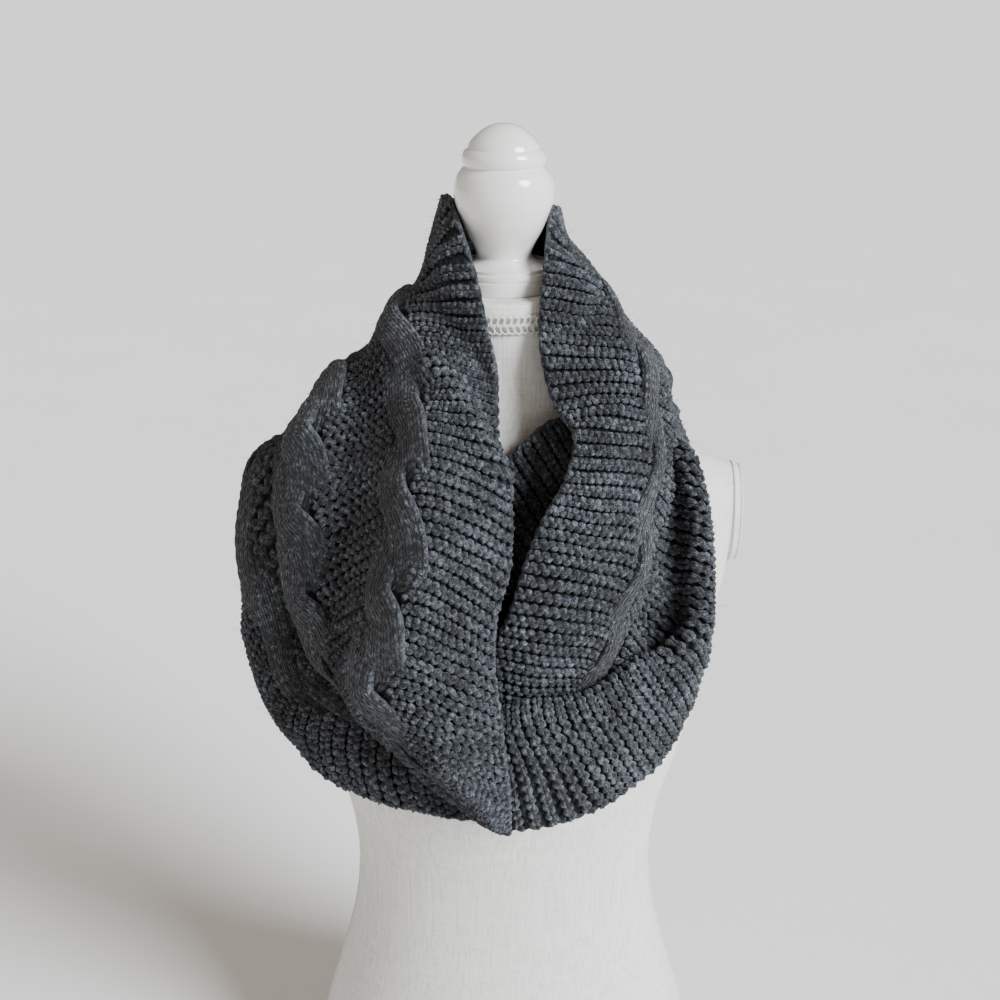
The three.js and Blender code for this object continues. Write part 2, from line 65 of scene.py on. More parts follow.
# Where the band runs: one row for each section, in millimetres. Columns of the inner winding go from the
# upper selvedge over the garter border, the first cable, the garter between and the second cable to where
# the band turns out of sight. Those of the outer winding go from its lower selvedge up to there.
INNER_WINDING = named(
    "edge rise seam roll valley cable tuck",
    ((3, -163, 372), (-4, -165, 376), (-11, -164, 380), (-16, -161, 383), (-20, -157, 386),
     (-22, -152, 388), (-22, -147, 389)),
    ((3, -166, 397), (-17, -170, 405), (-31, -168, 411), (-38, -163, 409), (-43, -158, 406),
     (-46, -152, 403), (-46, -146, 402)),
    ((1, -167, 427), (-30, -173, 439), (-55, -170, 443), (-67, -161, 438), (-71, -154, 434),
     (-73, -147, 431), (-72, -140, 430)),
    ((-3, -166, 464), (-35, -175, 478), (-66, -174, 484), (-88, -161, 466), (-95, -150, 458),
     (-96, -142, 454), (-93, -135, 452)),
    ((-8, -159, 498), (-36, -171, 514), (-64, -174, 521), (-89, -158, 503), (-106, -132, 478),
     (-111, -119, 464), (-107, -110, 455)),
    ((-6, -149, 529), (-31, -164, 545), (-55, -170, 553), (-81, -155, 535), (-106, -119, 502),
     (-125, -105, 481), (-132, -92, 462)),
    ((3, -131, 558), (-24, -150, 575), (-50, -158, 582), (-73, -146, 566), (-104, -109, 532),
     (-134, -94, 504), (-146, -79, 485)),
    ((3, -114, 590), (-25, -134, 607), (-52, -139, 611), (-70, -130, 596), (-102, -97, 563),
     (-139, -84, 535), (-154, -69, 520)),
    ((-5, -94, 630), (-28, -104, 637), (-50, -112, 639), (-67, -107, 624), (-100, -83, 594),
     (-141, -74, 568), (-159, -60, 551)),
    ((-5, -76, 666), (-25, -76, 666), (-45, -74, 664), (-65, -74, 648), (-98, -62, 620), (-138, -60, 602),
     (-162, -48, 577)),
    ((-12, -62, 697), (-34, -56, 694), (-57, -42, 690), (-75, -40, 679), (-98, -36, 646), (-131, -38, 632),
     (-160, -30, 600)),
    ((-19, -46, 727), (-43, -41, 719), (-61, -20, 704), (-80, -12, 690), (-94, -12, 664), (-121, -14, 644),
     (-149, -14, 615)),
    ((-37, 8, 769), (-45, 12, 743), (-59, 10, 708), (-78, 8, 693), (-92, 10, 665), (-122, 10, 643),
     (-148, 10, 614)),
    ((-37, 42, 762), (-46, 52, 732), (-55, 64, 694), (-72, 74, 672), (-87, 84, 647), (-104, 95, 622),
     (-122, 103, 592)),
    ((0, 54, 756), (0, 66, 728), (0, 80, 692), (0, 94, 670), (0, 104, 644), (0, 110, 620), (0, 112, 590)),
    ((34, 42, 756), (40, 50, 730), (54, 64, 696), (68, 78, 676), (83, 90, 652), (96, 98, 628),
     (106, 104, 602)),
    ((33, 20, 760), (38, 16, 744), (56, 14, 722), (68, 14, 702), (90, 12, 672), (106, 12, 653),
     (115, 12, 637)),
    ((28, -34, 735), (42, -26, 732), (58, -12, 722), (71, -2, 702), (93, 2, 672), (107, 2, 654),
     (114, 0, 640)),
    ((25, -53, 709), (48, -46, 706), (69, -32, 702), (83, -20, 683), (102, -12, 667), (110, -8, 651),
     (112, -4, 642)),
    ((25, -64, 683), (52, -60, 682), (80, -54, 680), (96, -44, 669), (109, -30, 653), (111, -22, 645),
     (108, -16, 641)),
    ((34, -82, 650), (60, -80, 657), (87, -74, 657), (100, -62, 646), (111, -50, 636), (108, -44, 636),
     (102, -43, 637)),
    ((46, -106, 635), (67, -104, 637), (90, -92, 635), (101, -80, 624), (110, -67, 610), (107, -63, 608),
     (101, -63, 608)),
    ((40, -120, 612), (63, -120, 614), (89, -106, 611), (99, -94, 601), (108, -80, 586), (106, -75, 583),
     (101, -74, 582)),
    ((26, -128, 588), (55, -130, 587), (83, -117, 583), (93, -104, 571), (99, -94, 557), (97, -89, 554),
     (93, -87, 552)),
    ((15, -134, 561), (47, -137, 560), (80, -122, 551), (89, -110, 538), (91, -101, 523), (88, -97, 518),
     (83, -96, 516)),
    ((5, -138, 527), (38, -141, 528), (69, -127, 521), (76, -116, 506), (77, -109, 491), (75, -104.5, 486),
     (70, -103, 485)),
    ((-9, -134, 495), (24, -138, 494), (58, -127, 490), (64, -119, 477), (63, -114, 465), (61, -109.5, 460),
     (56, -107, 459)),
    ((-18, -128, 463), (12, -131, 458), (46, -122, 457), (50, -117, 447), (49, -112, 438), (46, -107, 434),
     (42, -102.9, 433)),
    ((-13, -122, 434), (8, -124, 431), (30, -120, 430), (35, -117, 424), (35, -113, 417), (33, -109.5, 413),
     (29, -108.5, 413)))

OUTER_WINDING = named(
    "hem rib seam cable shoulder under",
    ((-6, -153, 368), (-8, -157, 410), (-10, -155, 444), (-11, -149, 453), (-11, -142, 450),
     (-10, -138, 440)),
    ((30, -158, 376), (23, -163, 422), (12, -159, 455), (13, -152, 463), (16, -144, 460), (20, -139, 449)),
    ((66, -146, 383), (54, -157, 422), (40, -152, 455), (40, -146, 463), (44, -139, 457), (53, -132, 446)),
    ((92, -124, 389), (80, -138, 425), (66, -137, 456), (64, -132, 465), (67, -126, 460), (70, -113, 455)),
    ((118, -100, 404), (108, -114, 435), (94, -115, 464), (90, -112, 474), (88, -104, 471), (81, -102, 482)),
    ((133, -84, 426), (128, -95, 450), (119, -102, 473), (111, -106, 482), (108, -98, 480), (91, -97, 509)),
    ((138, -74, 450), (139, -85, 467), (137, -93, 486), (129, -98, 498), (122, -91, 498), (96, -93.5, 521)),
    ((139, -67, 476), (141, -78, 489), (139, -86, 504), (131, -91, 516), (121, -87, 515), (99.5, -89.5, 533)),
    ((138, -62, 502), (141, -71, 512), (139, -79, 526), (131, -83, 538), (121, -79, 538), (104, -84, 549)),
    ((136, -60, 528), (139, -66, 538), (137, -72, 552), (130, -75, 564), (121, -72, 565), (111, -77, 571)),
    ((134, -53.9, 556), (136, -60, 565), (133, -64, 577), (126, -65, 589), (120, -64, 591), (115, -66, 594)),
    ((133, -46, 580), (132, -48, 587), (127, -51, 598), (120, -50, 608), (113, -46, 614), (103, -42, 621)),
    ((129, -25, 599), (122, -24, 609), (114, -22, 621), (106, -19, 630), (95, -17, 639), (82, -17, 646)),
    ((124, 0, 612), (116, 0, 620), (107, 0, 628), (97, 0, 637), (86, 0, 646), (72, 0, 656)),
    ((126, 30, 606), (119, 34, 614), (110, 37, 622), (100, 39, 630), (88, 40, 638), (74, 40, 646)),
    ((104, 74, 560), (98, 72, 580), (90, 70, 600), (82, 67, 616), (72, 64, 630), (60, 60, 640)),
    ((60, 108, 490), (56, 105, 520), (52, 100, 548), (48, 94, 572), (42, 86, 596), (34, 76, 620)),
    ((0, 116, 468), (0, 114, 500), (0, 110, 532), (0, 104, 560), (0, 95, 588), (0, 82, 614)),
    ((-62, 114, 462), (-60, 113, 494), (-58, 110, 526), (-56, 104, 556), (-52, 95, 584), (-46, 83, 610)),
    ((-118, 106, 462), (-116, 108, 496), (-113, 107, 530), (-108, 101, 562), (-98, 90, 592), (-84, 74, 616)),
    ((-166, 64, 462), (-168, 64, 498), (-166, 62, 534), (-156, 56, 568), (-134, 48, 598), (-110, 42, 622)),
    ((-187, 12, 462), (-190, 12, 506), (-188, 12, 548), (-181, 12, 580), (-151, 12, 598), (-118, 12, 621)),
    ((-187, -22, 452), (-190, -20, 487), (-189, -20, 521), (-184, -20, 553), (-169, -20, 581),
     (-138, -24, 606)),
    ((-184, -46, 441), (-185, -43, 466), (-183, -43, 492), (-179, -45, 524), (-161, -48, 553),
     (-139, -51, 584)),
    ((-164, -76, 413), (-171, -74, 431), (-165, -76, 450), (-156, -74, 468), (-147, -67, 486),
     (-137, -70, 512)),
    ((-132, -108, 388), (-141, -104, 412), (-137, -103, 431), (-130, -97, 443), (-122, -90, 452),
     (-114, -86, 468)),
    ((-95, -129, 379), (-101, -124, 410), (-98, -117, 430), (-94, -112, 440), (-88, -107, 448),
     (-80, -102, 462)),
    ((-58, -141, 376), (-67, -133, 403), (-65, -125, 419), (-62, -120, 429), (-58, -116, 438),
     (-52, -112, 450)),
    ((-34, -144, 372), (-41, -137, 391), (-43, -130, 405), (-42, -126, 414), (-40, -121, 423),
     (-36, -117, 434)),
    ((-19, -144, 371), (-24, -139, 390), (-27, -131, 404), (-28, -127, 413), (-28, -122, 422),
     (-26, -118, 432)))

CHEST_STRETCH = named(
    "top rise middle low",
    ((-48, -94, 548), (-26, -102, 520), (-4, -107, 494), (20, -106.8, 468)),
    ((-34, -91, 566), (-10, -100, 536), (12, -106, 508), (34, -105, 482)),
    ((-18, -86, 586), (6, -96, 554), (28, -103, 524), (48, -101, 498)),
    ((0, -81, 607), (22, -91, 574), (43, -98, 543), (60, -97, 516)),
    ((14, -77, 622), (36, -86, 590), (54, -93, 560), (66, -94, 536)),
    ((30, -72, 634), (48, -82, 606), (62, -89, 578), (72, -90, 556)),
    ((46, -67, 637), (58, -77, 616), (68, -84, 594), (76, -86, 574)))

# Torso of the form: half width and depths at each height, in millimetres
TORSO_RINGS = named(
    "z half front back",
    (18.3, 166, 108, 110), (80, 155, 104, 104), (134, 138, 97, 95), (187, 123, 88, 85), (234, 117, 83, 78),
    (287, 120, 87, 80), (325, 130, 93, 84), (375, 145, 100, 90), (420, 153, 104.5, 94), (460, 156, 106, 95),
    (495, 166, 102, 94), (540, 170, 91, 87), (564, 171, 81, 78), (578, 160, 76.5, 73), (588, 141, 73, 69),
    (602, 124, 69, 65), (622, 102, 63, 60), (642, 79, 57, 56), (656, 64, 53.6, 53.6), (668, 55, 52.3, 52.3),
    (690, 52, 52, 52), (710.6, 52, 52, 52))

# The other parts of the form, in millimetres
ARM = dict(depth=24, height=36, centre=541)
BOARD = dict(half_width=160, half_depth=104, height=18)
BRAID = dict(low=690.6, high=702, radius=53.9, loops=76)
# Outline of the finial: each stretch is a smooth curve, and stretches meet at sharp rims
FINIAL_STRETCHES = (
    ((0, 710.9), (37, 710.9)),
    ((37, 710.9), (37.3, 715), (37, 719.5)),
    ((36, 720), (36.4, 722.2), (36, 724.4)),
    ((34, 724.8), (34, 727)),
    ((30, 727.6), (24, 729), (19.8, 732), (19.6, 735), (21.4, 740), (26.4, 750), (30.8, 761), (33.4, 769),
     (34.4, 776), (33.8, 781), (32, 787), (29, 791), (27, 793)),
    ((27, 793), (28.4, 795.4), (28.4, 800), (27, 803)),
    ((24.8, 804.6), (23.4, 808), (20, 812), (13, 817.5), (6, 820.3), (0, 821)),
)

# Light and camera; a lamp's size is a sun's angle or a panel's width in metres
KEY = dict(kind="SUN", size=math.radians(26), place=(1.5, -1.05, 1.65), colour=(0.90, 0.96, 1))
FILL = dict(kind="AREA", size=1.6, place=(-1.6, -0.8, 0.9), colour=(1, 0.93, 0.84))
AMBIENT_COLOUR = (1, 0.88, 0.76)
BACKDROP = dict(colour=(1, 1, 0.99), strength=1.15)
LENS = dict(lens=48.6, sensor_width=36, shift_x=-0.004)


class ScarfSettings(bpy.types.PropertyGroup):
    """Sizes and colours of the knitted scarf"""

    yarn: bpy.props.FloatProperty(
        name="Yarn", description="Thickness of the garter yarn", default=0.0037, min=0.001, max=0.006,
        subtype="DISTANCE", unit="LENGTH")
    stitch: bpy.props.FloatProperty(
        name="Stitch", description="Width of one garter stitch", default=0.0048, min=0.003, max=0.012,
        subtype="DISTANCE", unit="LENGTH")
    cable_turn: bpy.props.FloatProperty(
        name="Cable turn", description="Length of cable from one crossing to the next", default=0.066,
        min=0.02, max=0.12, subtype="DISTANCE", unit="LENGTH")
    fibre_dark: bpy.props.FloatVectorProperty(
        name="Dark fibre", description="Darkest fibres of the heather yarn", default=(0.006, 0.006, 0.007),
        size=3, min=0, max=1, subtype="COLOR")
    fibre_mid: bpy.props.FloatVectorProperty(
        name="Main fibre", description="Body colour of the heather yarn", default=(0.029, 0.032, 0.039),
        size=3, min=0, max=1, subtype="COLOR")
    fibre_light: bpy.props.FloatVectorProperty(
        name="Light fibre", description="Lightest fibres of the heather yarn", default=(0.19, 0.21, 0.24),
        size=3, min=0, max=1, subtype="COLOR")
    fuzz_hairs: bpy.props.IntProperty(
        name="Fuzz hairs", description="Loose hairs that stand off the yarn", default=2600, min=0, max=6000)


class FormSettings(bpy.types.PropertyGroup):
    """Finishes of the dress form"""

    linen: bpy.props.FloatVectorProperty(
        name="Linen", description="Colour of the form's cover", default=(0.73, 0.715, 0.68), size=3, min=0,
        max=1, subtype="COLOR")
    gloss: bpy.props.FloatVectorProperty(
        name="Gloss paint", description="Colour of the finial", default=(0.83, 0.815, 0.785), size=3, min=0,
        max=1, subtype="COLOR")
    gloss_roughness: bpy.props.FloatProperty(
        name="Gloss roughness", description="Roughness of the finial's paint", default=0.16, min=0, max=1,
        subtype="FACTOR")


class StageSettings(bpy.types.PropertyGroup):
    """Light and camera"""

    key_power: bpy.props.FloatProperty(
        name="Key light", description="Strength of the light at the upper right", default=7.4, min=0)
    fill_power: bpy.props.FloatProperty(
        name="Fill light", description="Power of the dim light at the left", default=1.2, min=0, unit="POWER")
    ambience: bpy.props.FloatProperty(
        name="Ambient light", description="Strength of the light from all round", default=0.40, min=0)
    camera_height: bpy.props.FloatProperty(
        name="Camera height", description="Height of the camera over the floor", default=0.9246,
        subtype="DISTANCE", unit="LENGTH")
    camera_distance: bpy.props.FloatProperty(
        name="Camera distance", description="How far in front of the form the camera stands", default=0.9272,
        subtype="DISTANCE", unit="LENGTH")
    camera_tilt: bpy.props.FloatProperty(
        name="Camera tilt", description="How far down the camera looks", default=math.radians(22),
        subtype="ANGLE", unit="ROTATION")


# Curves and surfaces

def spline(points, stops):
    """Centripetal curve through points along their first axis, read at stops from 0 to the last index."""
    points = np.asarray(points, float)
    last = len(points) - 1
    ends = np.concatenate([[2 * points[0] - points[1]], points, [2 * points[-1] - points[-2]]])
    stops = np.clip(np.asarray(stops, float), 0, last)
    span = np.minimum(stops.astype(int), last - 1)
    weight = stops - span
    before, start, finish, after = (ends[span + shift] for shift in range(4))

    def gap(first, second):
        reach = ((second - first) ** 2).sum(-1, keepdims=True) ** 0.25
        return np.maximum(reach, 1e-4)

    gap0, gap1, gap2 = gap(before, start), gap(start, finish), gap(finish, after)
    leave = (start - before) / gap0 - (finish - before) / (gap0 + gap1) + (finish - start) / gap1
    arrive = (finish - start) / gap1 - (after - start) / (gap1 + gap2) + (after - finish) / gap2
    leave, arrive = leave * gap1, arrive * gap1
    w = weight.reshape((-1,) + (1,) * (points.ndim - 1))
    return (start + leave * w + (3 * (finish - start) - 2 * leave - arrive) * w ** 2
            + (2 * (start - finish) + leave + arrive) * w ** 3)


def unit(vectors):
    return vectors / np.maximum(np.linalg.norm(vectors, axis=-1, keepdims=True), 1e-9)


class Band:
    """Middle surface of one stretch of the knitted band, with even rows of stitches along it. front is 1 or
    -1, for the side of the surface that faces out."""

    fine = 4          # samples to each half ridge
    across = 0.05     # step between samples across, in columns
    guide_steps = 40  # samples to each row of the table when the length is measured
    fade = 16         # millimetres over which creases fade towards the ends

    def __init__(self, rows, measure, start, finish, front, gauge=1.0, creases=()):
        self.front = front
        self.half_ridge = HALF_RIDGE * gauge
        names = list(rows[0])
        table = np.array([[row[name] for name in names] for row in rows], float)
        stops = self.even_stops(table[:, names.index(measure)], start, finish)
        self.half_ridges = (len(stops) - 1) // self.fine
        sections = spline(table, stops)
        self.stations = np.arange(0, len(names) - 1 + 1e-6, self.across)
        self.points = np.swapaxes(spline(np.swapaxes(sections, 0, 1), self.stations), 0, 1)
        steps = np.linalg.norm(np.diff(self.points, axis=1), axis=-1)
        self.width = np.concatenate([[0], np.cumsum(steps.mean(0))])
        self.length = self.half_ridges * self.half_ridge
        self.turn_outward()
        if creases:
            self.press(creases, stops)
            self.turn_outward()
        steps = np.linalg.norm(np.diff(self.points, axis=1), axis=-1)
        self.reach = np.pad(np.cumsum(steps, axis=1), ((0, 0), (1, 0)))[..., None]

    def turn_outward(self):
        over, down = np.gradient(self.points, axis=1), np.gradient(self.points, axis=0)
        self.normals = unit(np.cross(over, down)) * self.front

    def press(self, creases, stops):
        """Soft ridges and troughs, each along a straight line drawn on the flat cloth."""
        along = np.linspace(0, self.length, len(stops))
        run, across = np.meshgrid(along, self.width, indexing="ij")

        def drawn(row, station):
            return np.array([np.interp(row, stops, along), self.distance_at(station)])

        lift = np.zeros(run.shape)
        for crease in creases:
            start = drawn(crease["row"], crease["station"])
            path = drawn(crease["to_row"], crease["to_station"]) - start
            ahead, aside = run - start[0], across - start[1]
            share = np.clip((ahead * path[0] + aside * path[1]) / (path @ path), 0, 1)
            away = np.hypot(ahead - share * path[0], aside - share * path[1])
            lift += crease["lift"] * np.exp(-(away / crease["wide"]) ** 2)
        calm = np.clip(np.minimum(run, self.length - run) / self.fade, 0, 1)
        self.points = self.points + self.normals * (lift * calm)[..., None]

    def even_stops(self, guide, start, finish):
        """Rows of the table, in fractions, at which the samples lie evenly along the guide column."""
        fine = np.linspace(start, finish, int(round((finish - start) * self.guide_steps)) + 1)
        path = spline(guide, fine)
        travelled = np.concatenate([[0], np.cumsum(np.linalg.norm(np.diff(path, axis=0), axis=1))])
        room = travelled[-1] - SEAM_GAP
        count = 2 * round(room / self.half_ridge / 2)
        wanted = SEAM_GAP / 2 + room * np.linspace(0, 1, count * self.fine + 1)
        return np.interp(wanted, travelled, fine)

    def look(self, grid, row, station):
        """Value of a grid at half ridge row and column station, both arrays."""
        r = np.clip(np.asarray(row, float) * self.fine, 0, len(grid) - 1.001)
        c = np.clip(np.asarray(station, float) / self.across, 0, grid.shape[1] - 1.001)
        r0, c0 = r.astype(int), c.astype(int)
        fr, fc = (r - r0)[..., None], (c - c0)[..., None]
        return ((grid[r0, c0] * (1 - fc) + grid[r0, c0 + 1] * fc) * (1 - fr)
                + (grid[r0 + 1, c0] * (1 - fc) + grid[r0 + 1, c0 + 1] * fc) * fr)

    def facing(self, row, station):
        return unit(self.look(self.normals, row, station))

    def at(self, row, station, height):
        """Point that stands height over the middle surface."""
        height = np.asarray(height, float)[..., None]
        return self.look(self.points, row, station) + self.facing(row, station) * height

    def station_at(self, distance):
        """Column station that lies distance across the band, in millimetres from its first edge."""
        return np.interp(distance, self.width, self.stations)

    def distance_at(self, station):
        return np.interp(station, self.stations, self.width)
    def edges(self, zone):
        """Distances across the band at which a zone begins and ends."""
        return self.distance_at(zone["first"]), self.distance_at(zone["last"])


# Meshes

def mesh_object(name, points, quads, triangles=(), uv=None):
    """Object from points in millimetres, with one UV pair for each corner of the quads, then the triangles."""
    quads, triangles = np.asarray(quads, int).reshape(-1, 4), np.asarray(triangles, int).reshape(-1, 3)
    starts = np.concatenate([
        np.arange(len(quads)) * 4, quads.size + np.arange(len(triangles)) * 3])
    mesh = bpy.data.meshes.new(name)
    mesh.vertices.add(len(points))
    mesh.vertices.foreach_set("co", (np.asarray(points, float) / 1000).ravel())
    mesh.loops.add(quads.size + triangles.size)
    mesh.loops.foreach_set("vertex_index", np.concatenate([quads.ravel(), triangles.ravel()]))
    mesh.polygons.add(len(starts))
    mesh.polygons.foreach_set("loop_start", starts)
    mesh.update(calc_edges=True)
    if uv is not None:
        layer = mesh.uv_layers.new(name="knit")
        layer.data.foreach_set("uv", np.asarray(uv, float).ravel())
    mesh.shade_smooth()
    obj = bpy.data.objects.new(name, mesh)
    bpy.context.collection.objects.link(obj)
    return obj


class Tubes:
    """Collects closed tubes and joins them into one mesh."""

    def __init__(self):
        self.points, self.quads, self.triangles, self.quad_uv, self.triangle_uv = [], [], [], [], []
        self.count = 0

    def add(self, paths, normals, wide, high, angles, bumps=None):
        """Tubes along paths shaped (tubes, steps, 3). wide and high are half sizes, angles the points of the
        section, and bumps stand the surface out by so much at each step and angle."""
        tubes, steps, _ = paths.shape
        sides = len(angles)
        run = unit(np.gradient(paths, axis=1))
        lateral = unit(np.cross(run, normals))[:, :, None]
        lift = unit(np.cross(lateral[:, :, 0], run))[:, :, None]
        wide = np.broadcast_to(wide, (tubes, steps))[..., None, None]
        high = np.broadcast_to(high, (tubes, steps))[..., None, None]
        cos, sin = np.cos(angles)[:, None], np.sin(angles)[:, None]
        rings = paths[:, :, None] + lateral * cos * wide + lift * sin * high
        if bumps is not None:
            rings = rings + unit(lateral * cos / wide + lift * sin / high) * bumps[..., None]
        travelled = np.concatenate([
            np.zeros((tubes, 1)), np.cumsum(np.linalg.norm(np.diff(paths, axis=1), axis=-1), axis=1)], axis=1)

        r, s = (grid.ravel() for grid in np.meshgrid(np.arange(steps - 1), np.arange(sides), indexing="ij"))
        here, turn = r * sides + s, r * sides + (s + 1) % sides
        quads = np.stack([here, here + sides, turn + sides, turn], -1)
        fan = np.array([[0, k, k + 1] for k in range(1, sides - 1)])
        triangles = np.concatenate([fan, fan[:, ::-1] + (steps - 1) * sides])
        base = self.count + np.arange(tubes)[:, None, None] * steps * sides
        along = travelled / 1000
        u = np.stack([along[:, r], along[:, r + 1], along[:, r + 1], along[:, r]], -1)
        v = np.broadcast_to(np.stack([s, s, s + 1, s + 1], -1) / sides, u.shape)
        self.points.append(rings.reshape(-1, 3))
        self.quads.append((quads + base).reshape(-1, 4))
        self.triangles.append((triangles + base).reshape(-1, 3))
        self.quad_uv.append(np.stack([u, v], -1).reshape(-1, 2))
        self.triangle_uv.append(np.zeros((tubes * len(triangles) * 3, 2)))
        self.count += tubes * steps * sides

    def object(self, name):
        return mesh_object(name, np.concatenate(self.points), np.concatenate(self.quads),
                           np.concatenate(self.triangles),
                           np.concatenate(self.quad_uv + self.triangle_uv))


# Knit, in millimetres where nothing else is said
STITCH_LENGTH = 6.2
STITCH_COLUMNS = 6  # small V stitches across a cable's strand
STITCH_SLOPE = 1.1  # how steeply the legs of a V stitch run
STRAIGHTEN = 12     # half ridges over which slanting ridges come straight at the ends
# Strands of a cable: sway and width in shares of half the cable's width
CABLE = dict(step=1.6, sway=0.50, wide=0.72, high=5.0, crossing=3.3, sunk=2.8, relief=0.8)
HAIR = dict(half=0.13, shortest=3.5, longest=9.0, steps=5)

# Sections of the tubes, as angles round them
ROUND = np.arange(5) / 5 * 2 * math.pi + math.pi / 2
HAIR_ROUND = np.arange(3) / 3 * 2 * math.pi
STRAND_TOP = 16
STRAND = np.concatenate([
    np.arccos(np.linspace(1, -1, STRAND_TOP + 1)), math.pi + np.arange(1, 5) / 5 * math.pi])


def ground_cloth(name, band, cables):
    """Closed thin shell under the stitches, arched under each cable."""
    stations = band.station_at(np.linspace(0, band.width[-1], int(band.width[-1] / 4) + 2))
    row, station = np.meshgrid(np.arange(band.half_ridges + 1.0), stations, indexing="ij")
    ridge = 0.45 - 0.45 * np.cos(math.pi * row)
    rise = ridge
    for zone in cables:
        first, last = band.edges(zone)
        place = 2 * (band.distance_at(station) - first) / (last - first) - 1
        rise = np.where(abs(place) < 1, 1.2 * np.sqrt(np.clip(1 - place ** 2, 0, 1)), rise)
    outer = band.at(row, station, 0.3 + rise)
    inner = band.at(row, station, -WALL / 2 - ridge * 0.8)
    index = np.arange(row.size).reshape(row.shape)
    quads = np.stack(
        [index[:-1, :-1], index[:-1, 1:], index[1:, 1:], index[1:, :-1]], -1).reshape(-1, 4)
    rim = np.concatenate([index[0, :], index[1:, -1], index[-1, -2::-1], index[-2:0:-1, 0]])
    after = np.roll(rim, -1)
    edge = np.stack([rim, rim + index.size, after + index.size, after], -1)
    if band.front < 0:
        quads, edge = quads[:, ::-1], edge[:, ::-1]
    faces = np.concatenate([quads, quads[:, ::-1] + index.size, edge])
    flat = np.stack([band.distance_at(station).ravel(), row.ravel() * band.half_ridge], -1) / 1000
    points = np.concatenate([outer.reshape(-1, 3), inner.reshape(-1, 3)])
    return mesh_object(name, points, faces, uv=np.concatenate([flat, flat])[faces.ravel()])


def garter_rows(tubes, band, zone, stitches, yarn, chance, slant):
    """Two meshed waves of yarn on each ridge: loop heads above and loop feet below. slant is how far a ridge
    runs askew, in half ridges, at the start and at the finish of the band."""
    ridges = band.half_ridges // 2
    x = np.linspace(0, stitches, stitches * 5 + 1)
    first, last = band.edges(zone)
    share = x / stitches
    station = band.station_at(first + (last - first) * share)
    crest = 2 * np.arange(ridges)[:, None] + 1
    calm = np.clip(np.minimum(crest, band.half_ridges - crest) / STRAIGHTEN, 0, 1)
    skew = np.interp(crest, (0, band.half_ridges), slant) * calm
    size = 1 + 0.05 * chance.standard_normal((ridges, 1))
    drift = 0.22 * chance.standard_normal((ridges, 1)).cumsum(axis=0)
    wander = 0.05 * np.sin(x * 0.9 + 6 * chance.random((ridges, 1)))
    for head in (1, -1):
        slip = 0.16 * chance.standard_normal((ridges, len(x))).cumsum(axis=1) / 5
        swing = head * np.cos(2 * math.pi * (x + drift + slip))
        row = crest + skew * (share - 0.5) + wander + head * (0.28 + 0.19 * swing * size)
        height = WALL / 2 - 0.5 + 0.6 * (1 + swing) * size
        wide = yarn / 2 * (1 + 0.22 * swing + 0.07 * chance.standard_normal((ridges, len(x))))
        tubes.add(band.at(row, station, height), band.facing(row, station), wide, wide, ROUND)


def cable_rope(tubes, band, zone, turn, lead):
    """Two strands of small V stitches that cross over each other again and again. turn is the length from
    one crossing to the next, and lead how far the same cable has run before this stretch."""
    first, last = band.edges(zone)
    middle, half = (first + last) / 2, (last - first) / 2
    steps = int(band.length / CABLE["step"])
    row = np.linspace(0, band.half_ridges, steps)
    run = row * band.half_ridge
    phase = math.pi * ((run + lead) / turn + zone["phase"])
    near, far = (band.look(band.reach, row, np.full(steps, zone[end]))[:, 0] for end in ("first", "last"))
    room = np.clip((far - near) / (last - first), 0.15, 1.25)  # 1 where the cloth lies as wide as in the mean
    offset = (np.cos(STRAND) + 1) / 2 * STITCH_COLUMNS % 1 - 0.5
    leg = (run[:, None] / STITCH_LENGTH - STITCH_SLOPE * abs(offset)) % 1
    knit = CABLE["relief"] * np.sin(math.pi * leg) ** 0.8 * np.sqrt(abs(np.sin(2 * math.pi * offset)))
    knit = np.where(np.sin(STRAND) > -0.01, knit - 0.3, 0)
    for sign in (1, -1):
        swing = np.sin(phase + 0.25 * np.sin(2 * phase)) * np.sin(phase * 0.07 + 1.2)
        away = middle + sign * CABLE["sway"] * half * swing
        station = band.station_at(np.clip(away, 0, band.width[-1]))
        stand = sign * CABLE["crossing"] * np.cos(phase) - CABLE["sunk"]
        path = band.at(row, station, WALL / 2 + np.minimum(room, 1) * stand)
        lift = band.facing(row, station)
        aside = unit(np.cross(lift, np.gradient(path, axis=0)))
        lean = unit(lift + 0.16 * sign * np.cos(phase)[:, None] * aside)
        wide, high = CABLE["wide"] * half * room, CABLE["high"] * np.minimum(room, 1)
        tubes.add(path[None], lean[None], wide[None], high[None], STRAND, knit[None])


def selvedge(tubes, band):
    """Chained edge stitches down the first edge of the band."""
    row = np.linspace(0, band.half_ridges, band.half_ridges * 3)
    beat = np.cos(math.pi * row)
    place = band.station_at(np.clip(0.7 * beat - 0.5, 0, band.width[-1]))
    size = 2.0 + 0.5 * beat
    tubes.add(band.at(row, place, 0.2 + 0.5 * beat)[None], band.facing(row, place)[None], size, size * 1.1,
              ROUND)


# Materials

